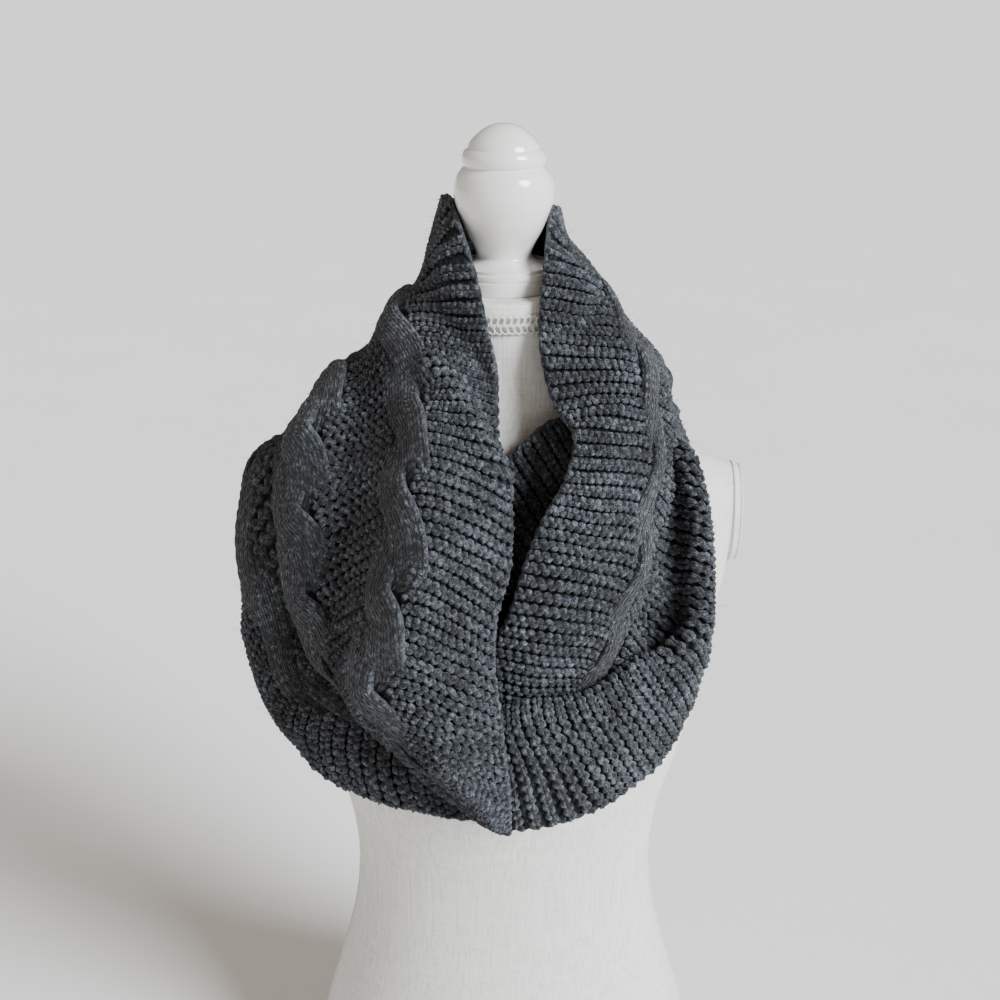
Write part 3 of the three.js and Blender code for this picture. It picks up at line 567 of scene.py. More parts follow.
class Socket:
    """Value in a material, so that shader maths reads as plain expressions."""

    def __init__(self, nodes, link):
        self.nodes, self.link = nodes, link

    def maths(self, operation, first, second=0.0, third=None):
        values = [first, second] if third is None else [first, second, third]
        return self.nodes.node("ShaderNodeMath", {"operation": operation}, dict(enumerate(values)))

    def __add__(self, other):
        return self.maths("ADD", self, other)

    def __sub__(self, other):
        return self.maths("SUBTRACT", self, other)

    def __rsub__(self, other):
        return self.maths("SUBTRACT", other, self)

    def __mul__(self, other):
        return self.maths("MULTIPLY", self, other)

    def __truediv__(self, other):
        return self.maths("DIVIDE", self, other)

    def __pow__(self, other):
        return self.maths("POWER", self, other)

    def __abs__(self):
        return self.maths("ABSOLUTE", self)

    def sine(self):
        return self.maths("SINE", self)

    def fraction(self):
        return self.maths("FRACT", self)

    __radd__ = __add__
    __rmul__ = __mul__


class Finish:
    """One material: its Principled shader and the nodes that feed it."""

    def __init__(self, name, **fixed):
        self.material = bpy.data.materials.new(name)
        self.material.use_nodes = True
        self.tree = self.material.node_tree
        self.shader = next(n for n in self.tree.nodes if n.type == "BSDF_PRINCIPLED")
        for socket, value in fixed.items():
            self.shader.inputs[socket.replace("_", " ")].default_value = value

    def node(self, kind, settings=None, values=None, output=0):
        """A node with its settings made first, then the values or links of its inputs."""
        node = self.tree.nodes.new(kind)
        for key, value in (settings or {}).items():
            if key == "stops":
                ramp = node.color_ramp
                while len(ramp.elements) < len(value):
                    ramp.elements.new(0.5)
                for element, (place, colour) in zip(ramp.elements, value):
                    element.position, element.color = place, (*colour, 1)
            else:
                setattr(node, key, value)
        for key, value in (values or {}).items():
            if isinstance(value, Socket):
                self.tree.links.new(value.link, node.inputs[key])
            else:
                node.inputs[key].default_value = value
        return Socket(self, node.outputs[output])

    def feed(self, socket, value):
        self.tree.links.new(value.link, self.shader.inputs[socket])

    def place(self):
        return self.node("ShaderNodeTexCoord", output="Object")

    def uv(self):
        return self.node("ShaderNodeUVMap", {"uv_map": "knit"})

    def axes(self, vector):
        split = self.tree.nodes.new("ShaderNodeSeparateXYZ")
        self.tree.links.new(vector.link, split.inputs[0])
        return [Socket(self, output) for output in split.outputs]

    def noise(self, vector, scale, detail=2.0, roughness=0.5):
        return self.node("ShaderNodeTexNoise", {"noise_dimensions": "3D"}, {
            "Vector": vector, "Scale": scale, "Detail": detail, "Roughness": roughness})

    def stretch(self, vector, scale):
        return self.node("ShaderNodeMapping", {"vector_type": "POINT"}, {"Vector": vector, "Scale": scale})

    def ramp(self, value, stops):
        return self.node("ShaderNodeValToRGB", {"stops": stops}, {"Fac": value})

    def mix(self, amount, first, second):
        values = {0: amount, 6: first, 7: second}
        values = {k: (*v, 1) if isinstance(v, tuple) else v for k, v in values.items()}
        return self.node("ShaderNodeMix", {"data_type": "RGBA"}, values, output=2)

    def bump(self, height, distance, strength=1.0):
        self.feed("Normal", self.node("ShaderNodeBump", {}, {
            "Strength": strength, "Distance": distance, "Height": height}))


def tint(colour, share):
    return tuple(min(1, channel * share) for channel in colour)


def wool(name, scarf, shade, **fixed):
    """A wool finish, its heather colour and its fibres: dark, middle and light fibres are mixed at the size
    of a fibre, of a tuft and of a hand."""
    finish = Finish(name, Roughness=0.95, **fixed)
    place = finish.place()
    fibre = finish.noise(place, 1500.0, 3.0, 0.7)
    tuft = finish.noise(place, 260.0, 3.0, 0.6)
    cloud = finish.noise(place, 28.0)
    # shade scales all three fibre colours at once: below 1 it paints shade into the wool, above 1 painted
    # light
    dark, mid, light = (
        tint(colour, shade) for colour in (scarf.fibre_dark, scarf.fibre_mid, scarf.fibre_light))
    colour = finish.ramp(fibre * 0.55 + tuft * 0.4 + cloud * 0.15 - 0.05, [
        (0.43, dark), (0.50, mid), (0.55, tint(mid, 2.2)), (0.61, light)])
    return finish, colour, fibre


def yarn_finish(name, scarf):
    """Plied yarn, with its twist along the tube."""
    finish, colour, fibre = wool(
        name, scarf, 1.0, Sheen_Weight=0.12, Sheen_Roughness=0.5, Specular_IOR_Level=0.25)
    finish.feed("Base Color", colour)
    along, around, _ = finish.axes(finish.uv())
    twist = (along * (2 * math.pi / 0.0042) + around * (4 * math.pi)).sine() * 0.5 + 0.5
    finish.bump(twist * 0.4 + fibre * 0.9, 0.0010, 0.9)
    return finish.material


def rope_finish(name, scarf):
    """Small V stitches that lie where the strand's own relief has them, with painted light and painted shade
    in their colour.
    """
    # Painted light: the strand's fibre colours are 1.2 times lighter than the garter yarn's, for the light the
    # smooth strands catch
    finish, colour, fibre = wool(
        name, scarf, 1.2, Sheen_Weight=0.12, Sheen_Roughness=0.5, Specular_IOR_Level=0.25)
    along, across, _ = finish.axes(finish.uv())
    column = (across * (STITCH_COLUMNS * len(STRAND) / STRAND_TOP)).fraction() - 0.5
    leg = (along / (STITCH_LENGTH / 1000) - abs(column) * STITCH_SLOPE).fraction()
    stitch = ((leg * math.pi).sine() ** 0.45) * (abs((column * (2 * math.pi)).sine()) ** 0.5)
    # Painted shade: the grooves between the V stitches go near black, mixed from the same mask as the bump
    finish.feed("Base Color", finish.mix(stitch * 0.88 + 0.12, (0.004, 0.004, 0.005), colour))
    finish.bump(stitch * 0.8 + fibre * 0.3, 0.0024, 1.0)
    return finish.material


def ground_finish(name, scarf):
    """Garter rows in painted shade, for the cloth between and behind the stitches."""
    # Painted shade: the whole ground takes the fibre colours darkened to 0.55, for the shade between and
    # behind the stitches
    finish, colour, fibre = wool(name, scarf, 0.55, Sheen_Weight=0.05, Specular_IOR_Level=0.2)
    across, along, _ = finish.axes(finish.uv())
    head = (across * (2 * math.pi / 0.006)).sine()
    row = (along * (2 * math.pi / 0.0086) + head * 0.9).sine() * 0.5 + 0.5
    # Painted shade: near black in the grooves between the garter rows
    finish.feed("Base Color", finish.mix(row, (0.006, 0.006, 0.007), colour))
    finish.bump(row * 0.8 + fibre * 0.3, 0.0016, 0.9)
    return finish.material


def linen_finish(name, form):
    """Slubbed threads one way and finer ones the other."""
    finish = Finish(name, Roughness=0.86, Sheen_Weight=0.1)
    place = finish.place()
    _, _, z = finish.axes(place)
    slub = finish.noise(finish.stretch(place, (620.0, 620.0, 14.0)), 1.0, 3.0, 0.6)
    weft = finish.noise(finish.stretch(place, (30.0, 30.0, 700.0)), 1.0)
    thread = (z * (2 * math.pi / 0.0011)).sine() * 0.5 + 0.5
    weave = slub * 0.6 + weft * 0.25 + thread * 0.15
    finish.feed("Base Color", finish.ramp(weave, [
        (0.36, tint(form.linen, 0.78)), (0.5, tuple(form.linen)), (0.64, tint(form.linen, 1.1))]))
    finish.bump(weave, 0.0006, 0.7)
    return finish.material


def braid_finish(name, form):
    finish = Finish(name, Roughness=0.8, Sheen_Weight=0.15)
    thread = finish.noise(finish.place(), 1400.0, 2.0, 0.6)
    finish.feed("Base Color", finish.ramp(thread, [(0.3, tint(form.linen, 0.8)), (0.7, tuple(form.linen))]))
    finish.bump(thread, 0.0003, 0.6)
    return finish.material


def gloss_finish(name, form):
    finish = Finish(name, Coat_Weight=0.6, Coat_Roughness=0.08)
    brushed = finish.noise(finish.stretch(finish.place(), (9.0, 9.0, 60.0)), 1.0, 3.0)
    finish.feed("Base Color", finish.ramp(brushed, [(0.3, tint(form.gloss, 0.95)), (0.7, tuple(form.gloss))]))
    finish.feed("Roughness", brushed * 0.12 + (form.gloss_roughness - 0.04))
    finish.bump(brushed, 0.00015, 0.3)
    return finish.material


def board_finish(name, form):
    finish = Finish(name, Coat_Weight=0.1)
    grain = finish.noise(finish.stretch(finish.place(), (6.0, 90.0, 90.0)), 1.0, 4.0, 0.6)
    base = tint(form.linen, 0.97)
    finish.feed("Base Color", finish.ramp(grain, [(0.3, tint(base, 0.93)), (0.7, base)]))
    finish.feed("Roughness", grain * 0.2 + 0.4)
    finish.bump(grain, 0.0002, 0.3)
    return finish.material


def floor_finish():
    finish = Finish("pale floor", Roughness=0.75)
    tone = finish.noise(finish.place(), 3.0, 3.0)
    finish.feed("Base Color", finish.ramp(tone, [(0.3, (0.93, 0.93, 0.925)), (0.7, (0.95, 0.95, 0.945))]))
    return finish.material


FINISHES = {
    "wool yarn": yarn_finish, "wool cable": rope_finish, "wool ground": ground_finish,
    "linen cover": linen_finish, "cotton braid": braid_finish, "gloss white paint": gloss_finish,
    "painted board": board_finish}


def finish_of(name):
    """Material of that name, made once."""
    scene = bpy.context.scene
    settings = scene.knit_scarf if name.startswith("wool") else scene.dress_form
    return bpy.data.materials.get(name) or FINISHES[name](name, settings)


def hand_in(obj, finish):
    """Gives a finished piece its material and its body."""
    obj.data.materials.clear()
    obj.data.materials.append(finish_of(finish))
    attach(obj, "root")
    return obj


# Stretches of the scarf that show. Zones give the columns between which a garter or a cable runs.
INNER_ZONES = dict(
    border=dict(first=0.0, last=2.25), cable=dict(first=2.0, last=3.4, phase=0.1),
    valley=dict(first=3.15, last=4.65), outer_cable=dict(first=4.4, last=5.9, phase=0.6))
RIM_ZONES = dict(border=dict(first=0.0, last=5.0))
OUTER_ZONES = dict(
    border=dict(first=0.0, last=2.3), cable=dict(first=2.0, last=3.5, phase=0.2),
    turned=dict(first=3.2, last=5.0))
CHEST_ZONES = dict(border=dict(first=0.0, last=3.0))

# Each winding: its rows, the column on which its ridges are measured, and the side that faces out
WINDINGS = {
    "inner": dict(rows=INNER_WINDING, measure="seam", front=-1),
    "outer": dict(rows=OUTER_WINDING, measure="rib", front=-1),
    "chest": dict(rows=CHEST_STRETCH, measure="middle", front=1),
}

# Start and finish are rows of the winding. gauge is how coarse the knit is, slant how far the ridges run
# askew at both ends, and lead how far the cables have run before, in millimetres. flat is in metres.
STRETCHES = {row["name"]: row for row in named(
    "name winding start finish zones gauge slant lead flat seed",
    ("scarf_front_left", "inner", 0, 13, INNER_ZONES, 1.0, (6.0, 1.0), 0, (0.17, 0.50), 11),
    ("scarf_collar_back", "inner", 13, 15, INNER_ZONES, 1.0, (0, 0), 499, (0.185, 0.12), 12),
    ("scarf_front_right", "inner", 15, 28, INNER_ZONES, 1.0, (1.0, 3.0), 620, (0.122, 0.43), 13),
    ("scarf_outer_right", "outer", 0, 13, RIM_ZONES, 1.0, (-6.0, 0), 0, (0.09, 0.38), 14),
    ("scarf_outer_back", "outer", 13, 20, OUTER_ZONES, 1.12, (0, 0), 379, (0.132, 0.42), 15),
    ("scarf_outer_left", "outer", 20, 29, OUTER_ZONES, 1.3, (0, 0), 800, (0.129, 0.353), 16),
    ("scarf_chest", "chest", 0, 6, CHEST_ZONES, 1.0, (0, 0), 0, (0.104, 0.129), 17))}

# Main creases: soft ridges, and troughs where lift is negative, drawn from one place of the band to another
CREASES = {
    "scarf_front_left": named(
        "row station to_row to_station wide lift",
        (9.3, 2.0, 7.4, 0.1, 9, 6.5), (10.8, 1.3, 8.9, 0.2, 15, -5.5), (5.3, 3.5, 5.0, 4.4, 6, 3.5),
        (4.5, 3.6, 4.4, 4.3, 5, -3.0), (7.6, 3.6, 6.9, 4.2, 7, -2.0), (3.7, 0.5, 1.7, 1.6, 10, 3.0),
        (2.5, 0.1, 1.2, 0.8, 8, -2.5), (6.3, 0.2, 5.6, 1.4, 8, -1.8)),
    "scarf_front_right": named(
        "row station to_row to_station wide lift",
        (21.0, 0.1, 20.5, 1.5, 9, 2.6), (22.3, 0.3, 24.6, 1.2, 11, -2.2), (18.7, 0.6, 17.6, 1.9, 9, -2.2)),
    "scarf_outer_right": named(
        "row station to_row to_station wide lift",
        (7.2, 0.0, 6.0, 0.8, 9, 2.6), (3.4, 0.2, 2.5, 1.9, 11, 2.4), (4.6, 0.2, 4.1, 1.4, 8, -2.0),
        (4.8, 4.5, 11.3, 4.2, 12, -11.0), (5.0, 2.4, 11.0, 2.3, 8, 5.0)),
    "scarf_outer_back": named(
        "row station to_row to_station wide lift",
        (14.5, 0.4, 15.6, 1.8, 12, -2.6), (16.3, 0.1, 16.8, 2.6, 15, 3.0), (17.9, 0.5, 18.4, 1.5, 10, -2.2)),
    "scarf_outer_left": named(
        "row station to_row to_station wide lift",
        (22.4, 0.3, 23.4, 1.6, 10, 2.6), (24.6, 0.1, 25.4, 1.2, 9, -2.0), (26.6, 0.3, 27.4, 1.6, 9, 2.0)),
}


def band_of(name):
    facts = STRETCHES[name]
    return Band(start=facts["start"], finish=facts["finish"], gauge=facts["gauge"],
                creases=CREASES.get(name, ()), **WINDINGS[facts["winding"]])


def knit_stretch(name):
    """Ground cloth, garter rows, cables and selvedge of one stretch of the scarf."""
    scarf = bpy.context.scene.knit_scarf
    facts = STRETCHES[name]
    chance = np.random.default_rng(facts["seed"])
    band = band_of(name)
    zones = facts["zones"].values()
    cables = [zone for zone in zones if "phase" in zone]
    cloth = hand_in(ground_cloth(f"{name}_ground", band, cables), "wool ground")

    yarn, stitch = (size * 1000 * facts["gauge"] for size in (scarf.yarn, scarf.stitch))
    loops = Tubes()
    for zone in zones:
        if "phase" not in zone:
            first, last = band.edges(zone)
            slant = facts["slant"] if zone["first"] == 0 else (0, 0)
            garter_rows(loops, band, zone, max(3, round((last - first) / stitch)), yarn, chance, slant)
    selvedge(loops, band)
    extra = [hand_in(loops.object(f"{name}_garter"), "wool yarn")]
    if cables:
        ropes = Tubes()
        for zone in cables:
            cable_rope(ropes, band, zone, scarf.cable_turn * 1000, facts["lead"])
        extra.append(hand_in(ropes.object(f"{name}_cable"), "wool cable"))
    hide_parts(name)


def fuzz_piece():
    """Loose hairs of the yarn, standing off the knit."""
    chance = np.random.default_rng(5)
    hairs = Tubes()
    areas = {name: facts["flat"][0] * facts["flat"][1] for name, facts in STRETCHES.items()}
    steps = np.linspace(0, 1, HAIR["steps"])
    wide = HAIR["half"] * (1 - 0.5 * steps)[None]
    steps = steps[None, :, None]
    for name, area in areas.items():
        band = band_of(name)
        count = int(bpy.context.scene.knit_scarf.fuzz_hairs * area / sum(areas.values()))
        row = chance.uniform(0, band.half_ridges, count)
        place = band.station_at(chance.uniform(0, band.width[-1], count))
        root = band.at(row, place, np.full(count, 3.0))[:, None]
        lift = band.facing(row, place)[:, None]
        drift = unit(chance.standard_normal((count, 3)))[:, None]
        length = chance.uniform(HAIR["shortest"], HAIR["longest"], count)[:, None, None]
        curl = unit(chance.standard_normal((count, 3)))[:, None]
        path = root + (lift * 0.45 + drift * 0.8) * length * steps + curl * length * 0.35 * steps ** 2
        hairs.add(path, np.broadcast_to(lift + 0.01, path.shape), wide, wide, HAIR_ROUND)
    hand_in(hairs.object("scarf_fuzz"), "wool yarn")


# Dress form, modelled with Blender's own tools

SIDES = (("left", -1), ("right", 1))


def mode(name):
    bpy.ops.object.mode_set(mode=name)


def deselect():
    if bpy.context.object and bpy.context.object.mode != "OBJECT":
        mode("OBJECT")
    bpy.ops.object.select_all(action="DESELECT")


def apply_place():
    bpy.ops.object.transform_apply(location=True, rotation=True, scale=True)


def settle(name):
    """Names the active object and puts its place into its mesh."""
    obj = bpy.context.object
    obj.name = obj.data.name = name
    apply_place()
    return obj


def joined(pieces, name):
    """One smooth object of several."""
    deselect()
    for piece in pieces:
        piece.select_set(True)
    bpy.context.view_layer.objects.active = pieces[0]
    bpy.ops.object.join()
    obj = settle(name)
    bpy.ops.object.shade_smooth()
    return obj


def rounded(obj, wanted, offset, segments):
    """Bevels the rims of the faces that are wanted, and smooths the rest by angle."""
    bpy.context.tool_settings.mesh_select_mode = (False, False, True)
    mode("EDIT")
    bpy.ops.mesh.select_all(action="DESELECT")
    mode("OBJECT")
    for face in obj.data.polygons:
        face.select = wanted(face)
    mode("EDIT")
    bpy.ops.mesh.bevel(offset=offset, segments=segments, affect="EDGES")
    mode("OBJECT")
    bpy.ops.object.shade_smooth_by_angle(angle=math.radians(35))


def torso_piece():
    """Rings drawn up one after another from the lowest one, then smoothed."""
    deselect()
    first = TORSO_RINGS[0]
    half, depth = first["half"] / 1000, (first["front"] + first["back"]) / 2000
    bpy.ops.mesh.primitive_circle_add(
        vertices=48, radius=1, fill_type="NGON", location=(0, 0, first["z"] / 1000))
    bpy.context.object.scale = (half, depth, 1)
    apply_place()
    mode("EDIT")
    bpy.ops.mesh.select_all(action="SELECT")
    bpy.ops.mesh.inset(thickness=0.006, depth=0)
    bpy.ops.mesh.select_all(action="SELECT")
    bpy.ops.mesh.flip_normals()
    bpy.ops.mesh.select_all(action="DESELECT")
    mode("OBJECT")
    mesh = bpy.context.object.data
    for edge in mesh.edges:  # only the outer ring is drawn up
        ends = (mesh.vertices[i].co for i in edge.vertices)
        edge.select = min((end.x / half) ** 2 + (end.y / depth) ** 2 for end in ends) > 0.995
    mode("EDIT")
    bpy.context.tool_settings.mesh_select_mode = (False, True, False)
    for below, ring in zip(TORSO_RINGS, TORSO_RINGS[1:]):
        depth, depth_below = (r["front"] + r["back"] for r in (ring, below))
        shift, shift_below = (r["back"] - r["front"] for r in (ring, below))
        bpy.ops.mesh.extrude_edges_move(TRANSFORM_OT_translate={
            "value": (0, (shift - shift_below) / 2000, (ring["z"] - below["z"]) / 1000)})
        bpy.ops.transform.resize(
            value=(ring["half"] / below["half"], depth / depth_below, 1),
            center_override=(0, shift / 2000, ring["z"] / 1000))
    bpy.ops.mesh.edge_face_add()
    bpy.ops.mesh.inset(thickness=0.004, depth=0)
    bpy.ops.mesh.select_all(action="SELECT")
    bpy.ops.mesh.normals_make_consistent(inside=False)
    mode("OBJECT")
    obj = settle("torso_cover")
    smooth = obj.modifiers.new("smooth", "SUBSURF")
    smooth.levels = smooth.render_levels = 1
    bpy.ops.object.modifier_apply(modifier=smooth.name)
    bpy.ops.object.shade_smooth()
    hand_in(obj, "linen cover")
    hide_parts("torso")
    return obj


def arm_cap(word, side):
    """Oval end of an arm: a short flared drum with a rounded rim."""
    deselect()
    bpy.ops.mesh.primitive_cone_add(
        vertices=64, radius1=1.3, radius2=1, depth=0.032,
        location=(side * 0.1577, 0, ARM["centre"] / 1000), rotation=(0, side * math.pi / 2, 0))
    bpy.context.object.scale = (ARM["height"] / 1000, ARM["depth"] / 1000, 1)
    obj = settle(f"arm_cap_{word}")
    rounded(obj, lambda face: face.normal.x * side > 0.9, 0.0016, 3)
    hand_in(obj, "linen cover")
    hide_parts(f"arm_plate_{word}")


def corded_edge(word, side):
    """Two rows of fine cord round an arm."""
    rings = []
    for place, grow in ((0.1722, -0.0002), (0.1672, 0.0018)):
        bpy.ops.mesh.primitive_torus_add(
            major_segments=96, minor_segments=10, major_radius=1, minor_radius=0.04,
            location=(side * place, 0, ARM["centre"] / 1000), rotation=(0, math.pi / 2, 0))
        ring = bpy.context.object
        ring.scale = (ARM["height"] / 1000 + grow, ARM["depth"] / 1000 + grow, 0.028)
        rings.append(ring)
    hand_in(joined(rings, f"arm_cord_{word}"), "cotton braid")


def side_seams(cover):
    """A pair of fine cords down each side of the cover, from the arm to the board."""
    for word, side in SIDES:
        cords = Tubes()
        for shift in (-1.3, 1.3):
            path = []
            for height in np.linspace(19, 500, 560):
                start, towards = (side * 0.3, shift / 1000, height / 1000), (-side, 0, 0)
                hit, place, _, _ = cover.ray_cast(start, towards)
                if not hit:
                    raise RuntimeError("a side seam found no cover to lie on")
                path.append((place.x * 1000 + side * 0.2, shift, height))
            path = np.array(path)
            outward = np.broadcast_to(np.array([side, 0.0, 0.0]), path.shape)
            size = 0.75 * (1 + 0.3 * np.cos(np.arange(len(path)) * math.pi / 2))
            cords.add(path[None], outward[None], size, size, ROUND)
        hand_in(cords.object(f"side_seam_{word}"), "cotton braid")


def neck_braid_piece():
    """Two rows of slanting loops round the neck, each loop a small ring, copied round."""
    deselect()
    bpy.ops.mesh.primitive_torus_add(
        major_segments=14, minor_segments=7, major_radius=0.0026, minor_radius=0.0008)
    pattern = bpy.context.object
    pieces = []
    for row, lean in ((0.25, 0.6), (0.75, -0.6)):  # height as a share of the braid's, and the loops' lean
        height = BRAID["low"] + (BRAID["high"] - BRAID["low"]) * row
        for i in range(BRAID["loops"]):
            turn = 2 * math.pi * (i + row - 0.25) / BRAID["loops"]
            copy = pattern.copy()
            copy.data = pattern.data.copy()
            copy.scale = (1.25, 0.8, 1.0)
            copy.location = Vector((
                BRAID["radius"] * math.cos(turn), BRAID["radius"] * math.sin(turn), height)) / 1000
            copy.rotation_euler = spun(turn, lean)
            bpy.context.collection.objects.link(copy)
            pieces.append(copy)
    bpy.data.objects.remove(pattern)
    obj = hand_in(joined(pieces, "neck_braid_loops"), "cotton braid")
    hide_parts("neck_braid")


def spun(turn, lean):
    """Angles that stand a flat ring up against the neck at turn, leaning sideways."""
    about_z, about_x, about_y = (
        Matrix.Rotation(angle, 3, axis) for angle, axis in ((turn, "Z"), (lean, "X"), (math.pi / 2, "Y")))
    return (about_z @ about_x @ about_y).to_euler()


def finial_piece():
    """Outline spun round the neck's axis."""
    deselect()
    outline = []
    for stretch in FINIAL_STRETCHES:
        points = np.array([(r, 0, z) for r, z in stretch], float)
        outline += list(spline(points, np.linspace(0, len(points) - 1, 4 * (len(points) - 1) + 1)))
    mesh = bpy.data.meshes.new("finial_turned")
    edges = [(i, i + 1) for i in range(len(outline) - 1)]
    mesh.from_pydata([tuple(p / 1000) for p in outline], edges, [])
    obj = bpy.data.objects.new("finial_turned", mesh)
    bpy.context.collection.objects.link(obj)
    bpy.context.view_layer.objects.active = obj
    obj.select_set(True)
    mode("EDIT")
    bpy.ops.mesh.select_all(action="SELECT")
    bpy.ops.mesh.spin(steps=72, angle=2 * math.pi, center=(0, 0, 0), axis=(0, 0, 1))
    bpy.ops.mesh.select_all(action="SELECT")
    bpy.ops.mesh.remove_doubles(threshold=0.00002)
    bpy.ops.mesh.normals_make_consistent(inside=False)
    mode("OBJECT")
    bpy.ops.object.shade_smooth_by_angle(angle=math.radians(28))
    hand_in(obj, "gloss white paint")
    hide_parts("finial")


def board_piece():
    """Oval board with rounded rims."""
    deselect()
    bpy.ops.mesh.primitive_cylinder_add(
        vertices=96, radius=1, depth=BOARD["height"] / 1000, location=(0, 0, BOARD["height"] / 2000))
    bpy.context.object.scale = (BOARD["half_width"] / 1000, BOARD["half_depth"] / 1000, 1)
    obj = settle("board")
    rounded(obj, lambda face: abs(face.normal.z) > 0.9, 0.003, 4)
    hand_in(obj, "painted board")
    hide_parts("base_board")


# Stage

def lamp(name, power, kind, size, place, colour):
    """A light aimed at the scarf."""
    light = bpy.data.lights.new(name, kind)
    light.energy, light.color = power, colour
    setattr(light, "angle" if kind == "SUN" else "size", size)
    obj = bpy.data.objects.new(name, light)
    obj.location = place
    obj.rotation_euler = (Vector((0, 0, 0.55)) - Vector(place)).to_track_quat("-Z", "Y").to_euler()
    bpy.context.collection.objects.link(obj)


def studio_world(ambience):
    """Dim warm light from all round, with a pale backdrop where the camera sees past the floor."""
    world = bpy.data.worlds.new("studio")
    world.use_nodes = True
    nodes, link = world.node_tree.nodes, world.node_tree.links.new
    ambient = nodes["Background"]
    backdrop, rays, chooser = (
        nodes.new(f"ShaderNode{kind}") for kind in ("Background", "LightPath", "MixShader"))
    for node, colour, strength in (
            (ambient, AMBIENT_COLOUR, ambience), (backdrop, BACKDROP["colour"], BACKDROP["strength"])):
        node.inputs["Color"].default_value = (*colour, 1)
        node.inputs["Strength"].default_value = strength
    link(rays.outputs["Is Camera Ray"], chooser.inputs[0])
    link(ambient.outputs[0], chooser.inputs[1])
    link(backdrop.outputs[0], chooser.inputs[2])
    link(chooser.outputs[0], nodes["World Output"].inputs["Surface"])
    return world


# Operators: one for each piece or group of like pieces

class Step:
    """What the operators share"""

    bl_options = {"REGISTER", "UNDO"}

    def execute(self, context):
        self.build(context.scene)
        return {"FINISHED"}


class StretchStep(Step):
    """What the operators that knit named stretches share"""

    stretches = ()

    def build(self, scene):
        for name in self.stretches:
            knit_stretch(name)


class SCARF_OT_inner_winding(StretchStep, bpy.types.Operator):
    """Knit the inner winding: front panel, collar and right flap"""

    bl_idname = "scarf.inner_winding"
    bl_label = "Inner winding"
    stretches = ("scarf_front_left", "scarf_collar_back", "scarf_front_right")


class SCARF_OT_outer_winding(StretchStep, bpy.types.Operator):
    """Knit the outer winding: right rim, back and left shoulder"""

    bl_idname = "scarf.outer_winding"
    bl_label = "Outer winding"
    stretches = ("scarf_outer_right", "scarf_outer_back", "scarf_outer_left")


class SCARF_OT_chest_stretch(StretchStep, bpy.types.Operator):
    """Knit the stretch that lies deep in the V"""

    bl_idname = "scarf.chest_stretch"
    bl_label = "Chest stretch"
    stretches = ("scarf_chest",)


class SCARF_OT_fuzz(Step, bpy.types.Operator):
    """Stand loose hairs off the knit"""

    bl_idname = "scarf.fuzz"
    bl_label = "Fuzz"

    def build(self, scene):
        fuzz_piece()


class FORM_OT_torso(Step, bpy.types.Operator):
    """Draw up the linen torso"""

    bl_idname = "form.torso"
    bl_label = "Torso"

    def build(self, scene):
        side_seams(torso_piece())


class FORM_OT_arms(Step, bpy.types.Operator):
    """Close the arms with oval caps and corded edges"""

    bl_idname = "form.arms"
    bl_label = "Arm caps"

    def build(self, scene):
        for piece in (arm_cap, corded_edge):
            for word, side in SIDES:
                piece(word, side)


class FORM_OT_neck_braid(Step, bpy.types.Operator):
    """Lay two rows of braid round the neck"""

    bl_idname = "form.neck_braid"
    bl_label = "Neck braid"

    def build(self, scene):
        neck_braid_piece()


class FORM_OT_finial(Step, bpy.types.Operator):
    """Turn the gloss white finial"""

    bl_idname = "form.finial"
    bl_label = "Finial"

    def build(self, scene):
        finial_piece()


class FORM_OT_board(Step, bpy.types.Operator):
    """Make the oval base board"""

    bl_idname = "form.board"
    bl_label = "Base board"

    def build(self, scene):
        board_piece()


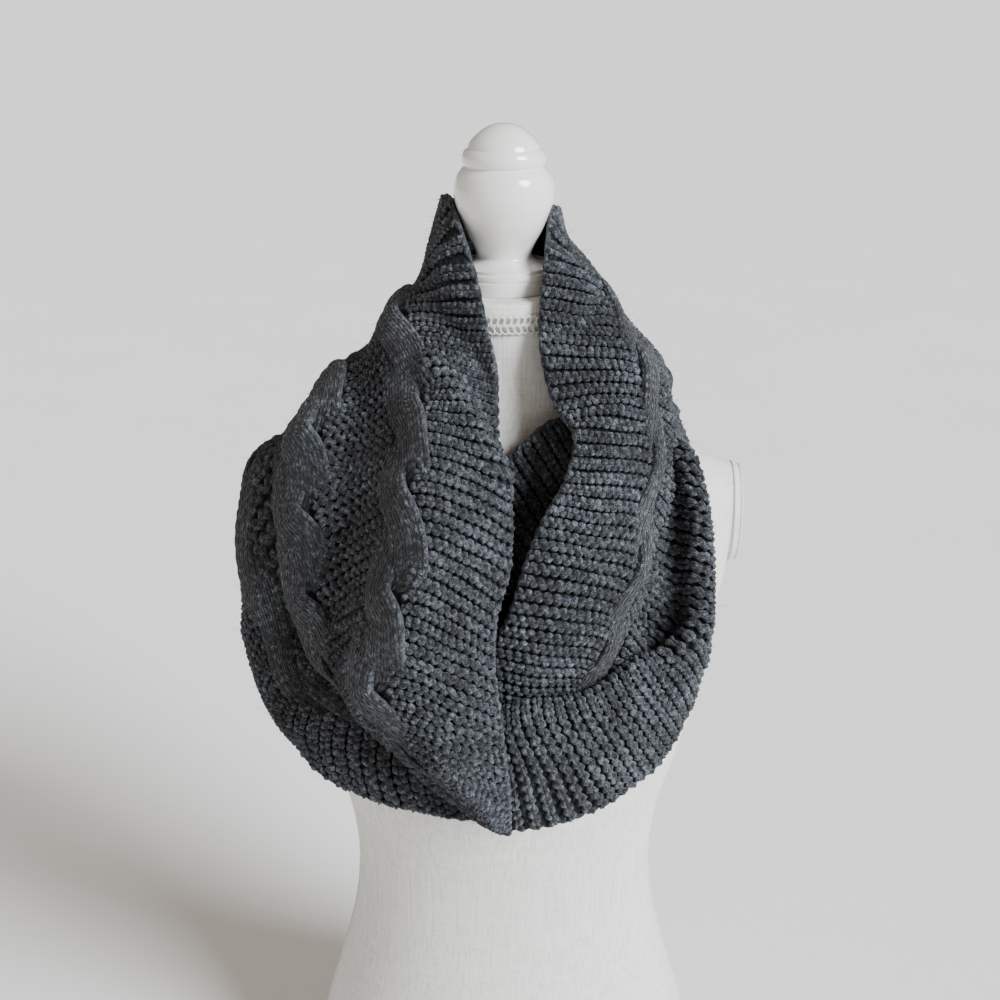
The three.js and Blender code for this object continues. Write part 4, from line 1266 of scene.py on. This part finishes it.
class SCARF_OT_stage(Step, bpy.types.Operator):
    """Set the pale floor, the soft lights and the camera"""

    bl_idname = "scarf.stage"
    bl_label = "Stage"

    def build(self, scene):
        stage = scene.scarf_stage
        deselect()
        bpy.ops.mesh.primitive_plane_add(size=120, location=(0, 0, 0))
        floor = bpy.context.object
        floor.name = "floor"
        floor.data.materials.append(floor_finish())
        scene.world = studio_world(stage.ambience)
        lamp("key", stage.key_power, **KEY)
        lamp("fill", stage.fill_power, **FILL)
        camera = bpy.data.cameras.new("camera")
        for name, value in LENS.items():
            setattr(camera, name, value)
        view = bpy.data.objects.new("camera", camera)
        view.location = (0, -stage.camera_distance, stage.camera_height)
        view.rotation_euler = (math.pi / 2 - stage.camera_tilt, 0, 0)
        bpy.context.collection.objects.link(view)
        scene.camera = view


class SCARF_PT_panel(bpy.types.Panel):
    """Sizes, colours and steps of the scarf on its form"""

    bl_label = "Knitted scarf"
    bl_idname = "SCARF_PT_panel"
    bl_space_type = "VIEW_3D"
    bl_region_type = "UI"
    bl_category = "Knitted scarf"

    def draw(self, context):
        scene = context.scene
        for settings in (scene.knit_scarf, scene.dress_form, scene.scarf_stage):
            box = self.layout.box()
            for name in settings.bl_rna.properties.keys():
                if name not in ("rna_type", "name"):
                    box.prop(settings, name)
        for operator in OPERATORS:
            self.layout.operator(operator.bl_idname)


OPERATORS = (SCARF_OT_stage, FORM_OT_board, FORM_OT_torso, FORM_OT_arms, FORM_OT_neck_braid, FORM_OT_finial,
             SCARF_OT_inner_winding, SCARF_OT_outer_winding, SCARF_OT_chest_stretch, SCARF_OT_fuzz)
SETTINGS = {"knit_scarf": ScarfSettings, "dress_form": FormSettings, "scarf_stage": StageSettings}


def register():
    for settings in SETTINGS.values():
        bpy.utils.register_class(settings)
    for name, settings in SETTINGS.items():
        setattr(bpy.types.Scene, name, bpy.props.PointerProperty(type=settings))
    for operator in OPERATORS:
        bpy.utils.register_class(operator)
    bpy.utils.register_class(SCARF_PT_panel)


def unregister():
    bpy.utils.unregister_class(SCARF_PT_panel)
    for operator in reversed(OPERATORS):
        bpy.utils.unregister_class(operator)
    for name, settings in reversed(SETTINGS.items()):
        delattr(bpy.types.Scene, name)
        bpy.utils.unregister_class(settings)


def main():
    register()
    for operator in OPERATORS:
        family, name = operator.bl_idname.split(".")
        getattr(getattr(bpy.ops, family), name)()


if __name__ == "__main__":
    main()
